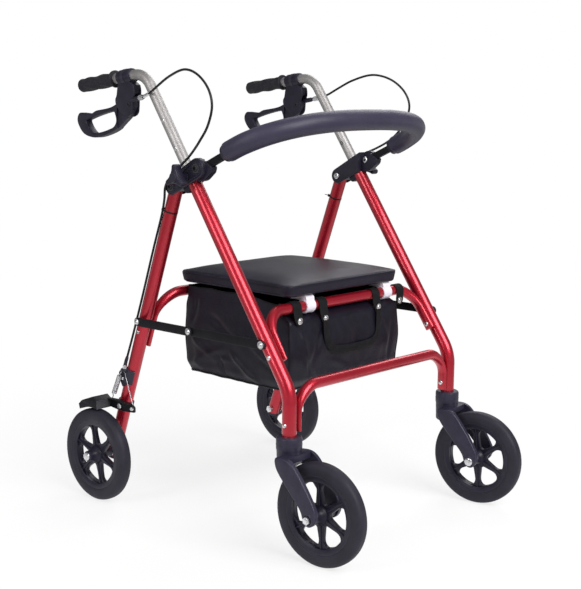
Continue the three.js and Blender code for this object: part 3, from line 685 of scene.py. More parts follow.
def circle(centre, radius, count=40, start=0.0, end=2 * math.pi):
    closed = abs(end - start - 2 * math.pi) < 1e-6
    steps = count if closed else count - 1
    return [
        Vector((centre[0] + radius * math.cos(start + (end - start) * k / steps),
                centre[1] + radius * math.sin(start + (end - start) * k / steps)))
        for k in range(count)
    ]


def belt(a, ra, b, rb, count=16):
    a, b = Vector(a), Vector(b)
    heading = math.atan2(b.y - a.y, b.x - a.x)
    spread = math.acos((ra - rb) / (b - a).length)
    return (
        circle(b, rb, count, heading - spread, heading + spread)
        + circle(a, ra, count, heading + spread, heading - spread + 2 * math.pi)
    )


def slab(outline, x0, x1, bevel=1.0, holes=()):
    """A plate with eased edges, drawn in the side view (Y, Z) and as thick as x0 to x1."""
    data = bpy.data.curves.new("slab", "CURVE")
    data.dimensions = "2D"
    data.fill_mode = "BOTH"
    for loop in [outline, *holes]:
        line = data.splines.new("POLY")
        line.points.add(len(loop) - 1)
        for point, p in zip(line.points, loop):
            point.co = (p[0], p[1], 0, 1)
        line.use_cyclic_u = True
    half = (x1 - x0) / 2
    data.extrude = half - bevel
    data.bevel_depth = bevel
    data.bevel_resolution = 2
    data.offset = -bevel
    o = bpy.data.objects.new("slab", data)
    bpy.context.scene.collection.objects.link(o)
    mesh = evaluated(o)
    middle = (x0 + x1) / 2
    made = Shape()
    made.add(
        [(v.co.z + middle, v.co.x, v.co.y) for v in mesh.vertices],
        [tuple(p.vertices) for p in mesh.polygons],
    )
    bpy.data.objects.remove(o)
    bpy.data.curves.remove(data)
    bpy.data.meshes.remove(mesh)
    return made


def bolt_head(y, z, x, radius, height, outward, sides=32):
    """A domed head with a round socket in its top, on an axis along X."""
    profile = [
        (radius, 0), (radius, height * 0.35), (radius * 0.93, height * 0.72),
        (radius * 0.7, height), (radius * 0.45, height), (radius * 0.42, height * 0.45),
        (0, height * 0.4),
    ]
    return lathe([(r, h * outward) for r, h in profile], sides).shift(x, y, z)


def hex_nut(y, z, x, radius, height, outward):
    points = circle((y, z), radius, 6, 0.3, 0.3 + 2 * math.pi)
    low, high = sorted((x, x + height * outward))
    nut = slab(points, low, high, 0.7)
    tip = lathe([(radius * 0.5, 0), (radius * 0.5, height * 1.5), (0, height * 1.6)], 20)
    if outward < 0:
        tip = tip.moved(MIRROR)
    return joined(nut, tip.shift(x, y, z))


MIRROR = Matrix.Scale(-1, 4, (1, 0, 0))


def on_side(shape, sign):
    return shape if sign > 0 else shape.moved(MIRROR)


# ---------------------------------------------------------------- the walker's own lines
# Millimetres; pairs are (y, z).
LEG_X = 251.0
LEG_RADIUS = 14.0
LEG_OUTSIDE = LEG_X + LEG_RADIUS
LEG_BEND_Z, LEG_SLOPE = 320, 0.69
STEM_Y = -222.0
CROSS_X, CROSS_RADIUS = 225, 11.0
FRONT_SEAT_Z, REAR_SEAT_Z = 455, 457
HANDLE_RADIUS, HANDLE_BEND_Z, GRIP_SLOPE = 11.1, 909, 0.1226
PIN = (90, 687)
ARM_SCREW = (16, 726)
BRACKET_HALF = 17.3
BACKREST_SLOPE = 0.45
REAR_AXLE = (300, 100)
CASTER_AXLE = (-78, 100)
LEVER_PIVOT = (225, 846)
BRAKE_PIVOT = (252, 211)
KNOB_Z = 708
CABLE_RADIUS = 2.4
CABLE_TIE_Z = 636


def front_leg(z):
    return (STEM_Y + (z - LEG_BEND_Z) * LEG_SLOPE, z)


def rear_leg(z):
    run, drop = REAR_AXLE[0] - PIN[0], PIN[1] - REAR_AXLE[1]
    return (PIN[0] + (PIN[1] - z) * run / drop, z)


def grip_axis(y):
    corner = front_leg(HANDLE_BEND_Z)[0]
    return (y, HANDLE_BEND_Z - (y - corner) * GRIP_SLOPE)


def backrest(y):
    return (y, ARM_SCREW[1] + (ARM_SCREW[0] - y) * BACKREST_SLOPE)


def at(x, p):
    return Vector((x, p[0], p[1]))


REAR_UP = (at(0, rear_leg(200)) - at(0, rear_leg(100))).normalized()
FRONT_UP = (at(0, front_leg(500)) - at(0, front_leg(400))).normalized()


def ring_along(axis_point, axis, inner, outer, length, bevel=0.6, sides=40):
    """A sleeve round an axis, with eased edges."""
    profile = [
        (inner, -length / 2), (outer - bevel, -length / 2), (outer, -length / 2 + bevel),
        (outer, length / 2 - bevel), (outer - bevel, length / 2), (inner, length / 2),
        (inner, -length / 2),
    ]
    turn = Vector((1, 0, 0)).rotation_difference(Vector(axis)).to_matrix().to_4x4()
    return lathe(profile, sides).moved(Matrix.Translation(axis_point) @ turn)


def both(name, shape, finish, body, angle=38, replaces=()):
    """The same piece on each side. A body and a replaced node are named without their side."""
    for side, sign in SIDES:
        on = body if body in frame["bodies"] else f"{body}_{side}"
        nodes = [f"{node}_{side}" for node in replaces]
        build(f"{name}_{side}", on_side(shape, sign), finish, on, angle, nodes)


def as_object(shape, name="tool"):
    mesh = bpy.data.meshes.new(name)
    mesh.from_pydata(list(shape.verts), [], shape.faces)
    work = bmesh.new()
    work.from_mesh(mesh)
    bmesh.ops.remove_doubles(work, verts=work.verts, dist=1e-3)
    work.to_mesh(mesh)
    work.free()
    o = bpy.data.objects.new(name, mesh)
    bpy.context.scene.collection.objects.link(o)
    return o


def carve(body, *tools):
    """The body less its tools, as solid geometry."""
    o = as_object(body, "carved")
    others = [as_object(tool) for tool in tools]
    for other in others:
        step = o.modifiers.new("carve", "BOOLEAN")
        step.operation = "DIFFERENCE"
        step.solver = "EXACT"
        step.object = other
    mesh = evaluated(o)
    made = Shape()
    made.add([v.co.copy() for v in mesh.vertices], [tuple(p.vertices) for p in mesh.polygons])
    for x in [o, *others]:
        data = x.data
        bpy.data.objects.remove(x)
        bpy.data.meshes.remove(data)
    bpy.data.meshes.remove(mesh)
    return made


def rivet(y, z, x, radius=5.0, height=2.6, outward=1):
    profile = [(radius, -1.0), (radius, 0.3), (radius * 0.86, height * 0.6),
               (radius * 0.5, height * 0.93), (0, height)]
    return lathe([(r, h * outward) for r, h in profile], 24).shift(x, y, z)


# ---------------------------------------------------------------- frame tubes
def press_ends(tube, underside):
    """The ends of a cross tube are pressed flat where they lie against the legs."""
    for v in tube.verts:
        share = max(0.0, min(1.0, (underside - v.z) / 40))
        kept = 1 - 0.5 * share * share * (3 - 2 * share)
        v.x = math.copysign(236 - (236 - abs(v.x)) * kept, v.x)
    return tube


def make_front_frame():
    foot, knee = at(LEG_X, (STEM_Y, 216.5)), at(LEG_X, (STEM_Y, LEG_BEND_Z))
    path = bend([foot, knee, at(LEG_X, front_leg(720))], 80, 2)
    both("front_leg_tube", hollow(path, LEG_RADIUS, 11.9, 2, 56), "red_paint", "front_frame",
         replaces=["front_leg"])
    for name, end, level, radius, body in (
        ("lower_crossbar", (STEM_Y, 243), (STEM_Y, 326), 48, "front_frame"),
        ("front_seat_tube", front_leg(372), front_leg(FRONT_SEAT_Z), 48, "front_frame"),
        ("rear_seat_tube", rear_leg(345), rear_leg(REAR_SEAT_Z), 55, "rear_frame"),
    ):
        corners = [at(-CROSS_X, end), at(-CROSS_X, level), at(CROSS_X, level), at(CROSS_X, end)]
        tube = sweep(bend(corners, radius, 3), CROSS_RADIUS, 36, round_ends=1.5)
        tube = press_ends(tube, level[1] - CROSS_RADIUS)
        build(name + "_bent", tube, "red_paint", body, replaces=[name])
    low, high = (STEM_Y, 258), front_leg(381)
    heads = joined(rivet(*low, LEG_OUTSIDE, 4.6, 2.2), rivet(*high, LEG_OUTSIDE, 4.6, 2.2),
                   rivet(*low, CROSS_X, 5, 2.4, -1), rivet(*high, CROSS_X, 5, 2.4, -1))
    both("front_leg_rivets", heads, "zinc", "front_frame")
    both("rear_leg_rivets", rivet(*rear_leg(377), LEG_OUTSIDE, 4.6, 2.2), "zinc", "rear_frame")


def make_rear_frame():
    low = at(LEG_X, rear_leg(REAR_AXLE[1])) - REAR_UP * 13
    high = at(LEG_X, rear_leg(PIN[1])) + REAR_UP * 13
    points = [low.lerp(high, k / 14) for k in range(15)]
    both("rear_leg_tube", sweep(points, LEG_RADIUS, 56), "red_paint", "rear_frame",
         replaces=["rear_leg"])
    plug = sweep([low - REAR_UP * 3.5, low - REAR_UP * 2.5, low, low + REAR_UP * 3],
                 lambda s, _: 13.0 if s < 0.05 else 14.3, 36)
    both("rear_leg_plug", plug, "black_plastic", "rear_frame")
    place = rear_leg(377)
    heads = joined(rivet(*place, LEG_OUTSIDE, 4.6, 2.2), rivet(*place, CROSS_X, 5, 2.4, -1))
    both("rear_leg_rivets", heads, "zinc", "rear_frame")
    axle = joined(
        rod(at(231, REAR_AXLE), at(237, REAR_AXLE), 8.5, 6),
        rod(at(228, REAR_AXLE), at(330, REAR_AXLE), 4.8, 20),
        lathe([(9, 0), (9, 2), (8, 3.4), (5, 4), (0, 4)], 28).shift(327.2, *REAR_AXLE),
        lathe([(12, 0), (12, 1.2), (5, 1.4), (5, 0), (12, 0)], 28).shift(265.2, *REAR_AXLE),
    )
    both("rear_axle_bolt", axle, "zinc", "rear_frame", replaces=["rear_axle"])


# ---------------------------------------------------------------- wheels and casters
def make_wheel(phase):
    """A tyre and a rim about the X axis at the origin."""
    tyre = lathe([
        (74.5, -11.5), (76.5, -13.2), (82, -13.9), (88, -14), (93, -13.3), (96.6, -11.4),
        (98.8, -8.6), (99.7, -5.2), (99.96, -2.4), (99.96, 2.4), (99.7, 5.2), (98.8, 8.6),
        (96.6, 11.4), (93, 13.3), (88, 14), (82, 13.9), (76.5, 13.2), (74.5, 11.5),
        (74.5, -11.5),
    ], 120)
    felloe = lathe([
        (64, -6), (64, -9.0), (65, -9.8), (71.5, -11.4), (75, -11.8), (76.0, -11), (74, -9),
        (74, 9), (76.0, 11), (75, 11.8), (71.5, 11.4), (65, 9.8), (64, 9.0), (64, 6), (64, -6),
    ], 96)
    windows = []
    for k in range(6):
        middle = math.radians(phase + 90 + 60 * k + 30)
        low, high = 24.0, 64.0
        inner = max(0.07, math.radians(30) - math.asin(8.6 / low))
        outer = math.radians(30) - math.asin(6.0 / high)
        points = [
            Vector((r * math.cos(middle + a), r * math.sin(middle + a)))
            for r, a in ((low, -inner), (high * 0.82, -outer * 1.02), (high, -outer * 0.72),
                         (high * 1.005, 0), (high, outer * 0.72), (high * 0.82, outer * 1.02),
                         (low, inner))
        ]
        windows.append(rounded(points, [2.6, 9, 9, 4, 9, 9, 2.6], 4))
    web = slab(circle((0, 0), 67, 96), -4.6, 4.6, 1.4, windows)
    hub = lathe([
        (5.2, -30), (10.2, -30), (11.4, -28.8), (12.0, -22), (13.6, -14), (17, -10.4),
        (19.4, -7), (20, -4), (20, 4), (19.4, 7), (17, 10.4), (13.6, 14), (12.0, 22),
        (11.4, 28.8), (10.2, 30), (5.2, 30), (5.2, -30),
    ], 48)
    rim = joined(felloe, web, hub)
    for k in range(6):
        turn = math.radians(phase + 90 + 60 * k)
        rib = slab(rounded([(14, -2.6), (66, -1.8), (66, 1.8), (14, 2.6)], 0.8, 2),
                   -7.4, 7.4, 1.2)
        rim.join(rib.moved(Matrix.Rotation(turn, 4, "X")))
    return tyre, rim


def make_casters():
    fork_outline = rounded([
        (3, 196), (0, 184), (-7, 173), (-20, 158), (-61, 113), (-65, 97), (-73, 86), (-84, 86),
        (-93, 96), (-97, 114), (-76, 150), (-58, 174), (-45, 191), (-35, 200), (-24, 204.4),
        (-12, 205), (1, 203.5),
    ], [4, 5, 8, 10, 14, 8, 7, 7, 8, 12, 20, 20, 12, 8, 8, 8, 3], 4)
    body = slab(fork_outline, -42, 42, 3.2)
    room = rod((-32, -78, 100), (32, -78, 100), 105.5, 96)
    socket = lathe([
        (0, 172), (20, 172), (23, 175), (24, 208), (24.2, 210), (24.6, 211.5),
        (25, 213), (25, 232), (24, 235), (22.4, 236), (14.4, 236), (14.4, 222), (0, 222),
    ], 60).moved(Matrix.Rotation(math.radians(-90), 4, "Y"))
    mouth = slab(rounded([(-26, 150), (-26, 240), (-90, 240), (-90, 150)], 1), -32, 32, 0.2)
    fork = joined(carve(body, room, mouth), carve(socket, room))
    boss = lathe([(0, 0), (11.8, 0), (11.8, 1.0), (11, 1.6), (9, 1.8), (9, 1.0), (0, 1.0)], 40)
    boss = boss.shift(41, -78, 100)
    fork.join(boss, boss.moved(MIRROR))
    axle = joined(
        rod((-45, -78, 100), (45, -78, 100), 4.8, 20),
        hex_nut(-78, 100, 43.2, 8, 4.4, 1),
        lathe([(9, 0), (9, 2), (8, 3.2), (5, 4), (0, 4)], 28).moved(MIRROR).shift(-42.6, -78, 100),
    )
    tyre, rim = make_wheel(-4)
    tyre, rim = (piece.shift(0, *CASTER_AXLE) for piece in (tyre, rim))
    seam = ring_along((0, 0, 221), (0, 0, 1), 24.2, 25.3, 1.2, 0.3, 60)
    for side, sign, yaw in (("left", 1, 8), ("right", -1, -4)):
        place = (
            Matrix.Scale(sign, 4, (1, 0, 0))
            @ Matrix.Translation((LEG_X, STEM_Y, 0))
            @ Matrix.Rotation(math.radians(yaw), 4, "Z")
        )
        caster, wheel = f"caster_{side}", f"caster_wheel_{side}"
        build(f"fork_{side}", fork.moved(place), "fork_plastic", caster, 32,
              [f"caster_fork_{side}"])
        build(f"fork_seam_{side}", seam.moved(place), "black_plastic", caster)
        build(f"fork_axle_{side}", axle.moved(place), "zinc", caster, 38, [f"caster_axle_{side}"])
        build(f"front_tyre_{side}", tyre.moved(place), "tyre", wheel, 50, [f"caster_tyre_{side}"])
        build(f"front_rim_{side}", rim.moved(place), "black_plastic", wheel, 38,
              [f"caster_rim_{side}"])


def make_rear_wheels():
    tyre, rim = make_wheel(-12)
    tyre, rim = (piece.shift(297, *REAR_AXLE) for piece in (tyre, rim))
    both("back_tyre", tyre, "tyre", "rear_wheel", 50, ["rear_tyre"])
    both("back_rim", rim, "black_plastic", "rear_wheel", 38, ["rear_rim"])


# ---------------------------------------------------------------- bracket and height knob
def make_bracket():
    belt_line = belt(PIN, 17, ARM_SCREW, 20, 20)
    whole = slab(belt_line, LEG_X - BRACKET_HALF, LEG_X + BRACKET_HALF, 2.6)
    bump = slab(rounded([(60, 700), (60, 684), (50, 674), (41, 679), (36, 696)], 5),
                LEG_X - 12, LEG_X + 12, 2)
    tongue = slab(rounded([(34, 714), (3, 742), (-6, 737), (-20, 730), (-17, 719), (4, 702),
                           (16, 700), (30, 700)], [4, 6, 4, 4, 4, 6, 4, 4]),
                  LEG_X - 8, LEG_X + 8, 2)
    tools = [
        slab([(-60, 690), (27, 690), (27, 790), (-60, 790)], LEG_X - 25, LEG_X + 5.3, 0.1),
        rod(at(LEG_X - 14.6, PIN), at(LEG_X + 14.6, PIN), 20, 48),
        slab([(70, 640), (125, 640), (125, 688), (70, 688)], LEG_X - 14.6, LEG_X + 14.6, 0.1),
    ]
    body = carve(whole, *tools)
    # recesses round the two screws, and a raised edge along the outer cheek
    outer = LEG_X + BRACKET_HALF
    for centre, radius in ((PIN, 11.5), (ARM_SCREW, 11.5)):
        rim = lathe([(radius, 0), (radius + 1.4, 0), (radius + 1.2, 1.1), (radius + 0.2, 1.1),
                     (radius, 0)], 48)
        body.join(rim.shift(outer - 0.1, *centre))
    ridge = slab(rounded([(30, 726), (70, 706), (70, 703.4), (30, 723.4)], 1.2), outer - 0.6,
                 outer + 1.0, 0.5)
    body.join(ridge, bump, tongue)
    # a long raised oval on the front ear, round the arm's screw and the leg's clamp screw
    long_rim = slab(belt((46, 709), 12, ARM_SCREW, 15.5, 20), outer - 0.8, outer + 1.5, 0.7,
                    [belt((46, 709), 9.6, ARM_SCREW, 13.1, 20)])
    body.join(long_rim)
    both("joint_bracket", body, "black_plastic", "front_frame", 34, ["bracket"])
    # screws
    for name, centre, node in (("fold_bolt", PIN, "fold_pin"),
                               ("arm_bolt", ARM_SCREW, "bracket_screw")):
        inside = 233.4 if node == "fold_pin" else 245
        bolt = joined(
            bolt_head(*centre, outer + 0.2, 7.2, 3.4, 1),
            rod(at(inside, centre), at(outer, centre), 3.6, 16),
            lathe([(9.4, 0), (9.4, 0.8), (4, 0.9), (4, 0), (9.4, 0)], 32).shift(outer, *centre),
        )
        both(name, bolt, "black_steel", "front_frame", replaces=[node])
        both(name + "_nut", bolt_head(*centre, inside, 7.2, 3.2, -1), "zinc", "front_frame")


def make_knob():
    centre = front_leg(KNOB_Z)
    points, radii = [], []
    for k in range(3):
        lobe = math.radians(90 + 120 * k)
        for turn, reach, ease in ((-60, 11.5, 6), (-24, 15.5, 5), (-11.5, 26.2, 4.6),
                                  (11.5, 26.2, 4.6), (24, 15.5, 5)):
            angle = lobe + math.radians(turn)
            points.append((centre[0] + reach * math.cos(angle),
                           centre[1] + reach * math.sin(angle)))
            radii.append(ease)
    face = LEG_X + BRACKET_HALF + 13
    head = slab(rounded(points, radii, 6), face, face + 19.5, 3.6)
    cap = lathe([(9.6, 0), (9.6, 1.2), (8.6, 2.0), (0, 2.2)], 40).shift(face + 19.3, *centre)
    neck = lathe([(9.2, 0), (8.2, 1.2), (8.2, 10), (10.4, 14)], 40).shift(LEG_X + 17.7, *centre)
    both("knob", joined(head, cap, neck), "black_plastic", "height_knob", 30, ["height_knob"])
    profile = []
    for k in range(36):
        profile.append((3.1 if k % 2 else 2.6, k * 0.55))
    thread = lathe([(0, 0), *profile, (0, 19.8)], 20).shift(LEG_X + 11.6, *centre)
    both("knob_screw", thread, "steel", "height_knob")


# ---------------------------------------------------------------- handle, grip, brake lever
def handle_route():
    places = (front_leg(584), front_leg(HANDLE_BEND_Z), grip_axis(392))
    return [at(LEG_X, place) for place in places]


def make_handle():
    path = bend(handle_route(), 50, 2)
    outer = sweep(path, HANDLE_RADIUS, 56)
    inner = sweep(path[:7], 9.6, 56)
    inner.faces = [tuple(reversed(f)) for f in inner.faces]
    inner = inner.moved(Matrix.Translation(FRONT_UP * 1.5))
    tube = joined(outer, inner)
    both("handle_bar", tube, "silver_tube", "handle", 30, ["handle_tube"])
    rise = 65 / math.hypot(1, LEG_SLOPE)
    eyelets = Shape()
    for step in (-1, 0, 1, 2):
        place = front_leg(KNOB_Z + step * rise)
        eyelets.join(lathe([(4.1, -0.9), (4.1, 0.1), (3.7, 0.4), (2.6, 0.4), (2.6, -0.3),
                            (0, -0.5)], 24).shift(LEG_X + HANDLE_RADIUS, *place))
    both("height_eyelets", eyelets, "zinc", "handle")
    both("height_holes", eyelets.shift(-2 * LEG_X, 0, 0).moved(MIRROR), "black_steel", "handle")

    # the grip: a flange, ribs that wind round it, and a closed end
    axis = (at(LEG_X, grip_axis(399)) - at(LEG_X, grip_axis(276))).normalized()
    start = at(LEG_X, grip_axis(276))
    length = 115.5

    def grip_radius(d, turn):
        if d < 0.6:
            return 16.8 + d
        if d < 4.6:
            return 17.8
        if d < 7.0:
            return 17.8 - (d - 4.6) * 1.35
        base = 14.5 - (d - 7) * 0.004
        if d > length - 3:
            base *= 1 - 0.16 * ((d - length + 3) / 3) ** 2
        if 9 < d < length - 5:
            ease = min(1.0, (d - 9) / 6, (length - 5 - d) / 6)
            twist = math.cos(4 * turn + d * 2 * math.pi / 46)
            rings = math.sin(d * 2 * math.pi / 5.2)
            base += ease * (1.05 * twist + 0.12 * rings) - 0.3 * ease
        return base

    steps = 260
    points = [start + axis * (length * k / steps) for k in range(steps + 1)]
    grip = sweep(points, lambda s, a: grip_radius(s * length, a), 64)
    both("grip_sleeve", grip, "grip_rubber", "handle", 42, ["grip"])

    # the clamp and its two cheeks
    cheek = rounded([
        (249, 911), (262, 880), (265, 863), (270, 856), (268, 845), (259, 834), (240, 822),
        (230, 820), (215, 827), (213, 845), (213, 855), (207, 868), (209, 885), (231, 897),
        (229, 908),
    ], [6, 4, 4, 5, 5, 5, 6, 6, 8, 8, 6, 8, 8, 6, 6])
    core = rounded([(249, 911), (261, 878), (261, 867), (211, 867), (209, 885), (231, 897),
                    (229, 908)], 3)
    clamp_path = [at(LEG_X, grip_axis(221 + k * 5.125)) for k in range(9)]
    sleeve = sweep(clamp_path, lambda s, _: 15.5 if 0.03 < s < 0.97 else 14.2, 44)
    band = sweep([at(LEG_X, grip_axis(238)), at(LEG_X, grip_axis(246))], 16.1, 44)
    barrel_from, barrel_to = Vector((258, 216, 854.7)), Vector((264.3, 174, 861.9))

    def barrel_radius(share, turn):
        return 5.2 if share < 0.5 else 4.2

    barrel_points = [barrel_from.lerp(barrel_to, k / 24) for k in range(25)]
    barrel = sweep(barrel_points, barrel_radius, 64, round_ends=0.8)
    housing = joined(
        slab(cheek, LEG_X - 10, LEG_X - 6, 1.2),
        slab(cheek, LEG_X + 6, LEG_X + 10, 1.2),
        slab(core, LEG_X - 9.6, LEG_X + 9.6, 1.0),
        sleeve, band, barrel,
    )
    both("brake_body", housing, "black_plastic", "handle", 34, ["brake_housing"])
    screw = joined(
        bolt_head(*LEVER_PIVOT, LEG_X + 9.8, 4.6, 2.2, 1),
        bolt_head(*LEVER_PIVOT, LEG_X - 9.8, 4.6, 2.2, -1),
    )
    both("lever_pivot", screw, "black_steel", "handle")
    adjuster = [barrel_from.lerp(barrel_to, 0.62 + 0.36 * k / 16) for k in range(17)]

    def adjuster_radius(share, turn):
        if 0.12 < share < 0.72:
            return 5.4 + 0.3 * math.cos(18 * turn)
        return 4.4

    both("cable_adjuster", sweep(adjuster, adjuster_radius, 72, round_ends=0.5), "zinc", "handle")


def make_levers():
    loop = rounded([
        (216, 854), (214, 842), (230, 820), (244, 811), (269, 793), (306, 780.6), (340, 774.6),
        (366, 777.6), (385, 785), (401, 806), (400.5, 819), (393, 827.6), (367, 826), (352, 825),
        (339, 832), (290, 838.4), (269, 846), (250, 857), (230, 861),
    ], [5, 6, 10, 14, 16, 20, 18, 12, 12, 10, 5, 5, 7, 8, 8, 20, 12, 12, 8])
    hole = rounded([(371, 811), (346, 818.6), (307, 828), (276, 832.4), (267, 812.6), (277, 799),
                    (310, 789.4), (345, 783.4), (362, 796.4)], [4, 8, 20, 5, 10, 8, 16, 8, 10])
    lever = carve(
        slab(loop, LEG_X - 9, LEG_X + 9, 2.6, [hole]),
        slab([(150, 790), (262, 790), (268, 812), (266, 830), (262, 870), (150, 870)],
             LEG_X + 5.6, LEG_X + 20, 0.1),
        slab([(150, 790), (262, 790), (268, 812), (266, 830), (262, 870), (150, 870)],
             LEG_X - 20, LEG_X - 5.6, 0.1),
    )
    both("loop_lever", lever, "black_plastic", "brake_lever", 30, ["brake_lever"])


# ---------------------------------------------------------------- cables
UPPER_CABLE = [
    (264.6, 172.6, 862.2), (267.5, 150, 870), (270, 128, 881), (275, 82, 902), (283, 28, 914),
    (291, -19, 902), (296, -52, 875), (298.5, -63, 846), (298.5, -51, 809), (296, -25, 779),
    (291, -6, 764), (283, 16, 751), (276, 34, 742), (272.6, 50, 733), (272.4, 67, 720),
    (272.3, 82, 707),
]
LOWER_CABLE = [
    (272.3, 82, 706.6), (272.3, 94, 697), (272.2, 101.5, 684), (269.5, 107, 662),
    (264, 120, 634), (263, 150, 556), (263, 185, 458), (264.5, 214, 376), (268, 238, 306),
]


def make_cables():
    upper = spline(UPPER_CABLE, 150)
    for side, sign in SIDES:
        casing = on_side(sweep(upper, CABLE_RADIUS, 20, round_ends=0.8), sign)
        piece = build(f"upper_casing_{side}", casing, "cable_casing", None, 38,
                      [f"brake_cable_upper_{side}"])
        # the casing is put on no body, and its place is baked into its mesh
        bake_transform(piece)
    lower = spline(LOWER_CABLE, 150)
    casing = sweep(lower, CABLE_RADIUS, 20, round_ends=0.8)
    both("lower_casing", casing, "cable_casing", "rear_frame", replaces=["brake_cable_lower"])
    ferrule = sweep(upper[:7], lambda s, _: 3.3 if s < 0.86 else 2.8, 24)
    both("upper_ferrule", ferrule, "zinc", "handle")
    end = sweep(lower[-6:], lambda s, _: 2.9 if s < 0.14 else 3.5, 24)
    both("lower_ferrule", end, "black_plastic", "rear_frame")

    # the tie that holds the cable against the rear leg: a band, its lock and its loose tail
    turn = Vector((1, 0, 0)).rotation_difference(REAR_UP)
    leg = at(LEG_X, rear_leg(CABLE_TIE_Z))
    near = min(lower, key=lambda p: abs((p - leg).dot(REAR_UP)))
    offset = turn.inverted() @ (near - leg)
    band = belt((0, 0), 14.4, (offset.y, offset.z), 2.9, 24)
    inside = belt((0, 0), 13.2, (offset.y, offset.z), 2.0, 24)
    place = Matrix.Translation(leg) @ turn.to_matrix().to_4x4()
    tie = slab(band, -1.9, 1.9, 0.4, [inside]).moved(place)
    away = Vector((offset.y, offset.z)).normalized()
    lock_at = Vector((-away.y, away.x)) * 15.6
    lock = [(lock_at.x - 2.6, lock_at.y - 2.6), (lock_at.x + 2.6, lock_at.y - 2.6),
            (lock_at.x + 2.6, lock_at.y + 2.6), (lock_at.x - 2.6, lock_at.y + 2.6)]
    tie.join(slab(rounded(lock, 1), -2.8, 2.8, 0.6).moved(place))
    root = place @ Vector((0, lock_at.x, lock_at.y))
    strip = slab(rounded([(0, -0.5), (18, -0.5), (18, 0.5), (0, 0.5)], 0.2), -1.6, 1.6, 0.2)
    tail_end = root + Vector((6, 17, 1))
    aim = Vector((0, 1, 0)).rotation_difference((tail_end - root).normalized())
    tie.join(strip.moved(Matrix.Translation(root) @ aim.to_matrix().to_4x4()))
    both("cable_tie_0", tie, "cable_casing", "rear_frame")


# ---------------------------------------------------------------- rear brake
def sleeve_on_leg(z0, z1, radius, bore=14.0, sides=44):
    low, high = at(LEG_X, rear_leg(z0)), at(LEG_X, rear_leg(z1))
    return ring_along((low + high) / 2, REAR_UP, bore, radius, (high - low).length, 1.0, sides)


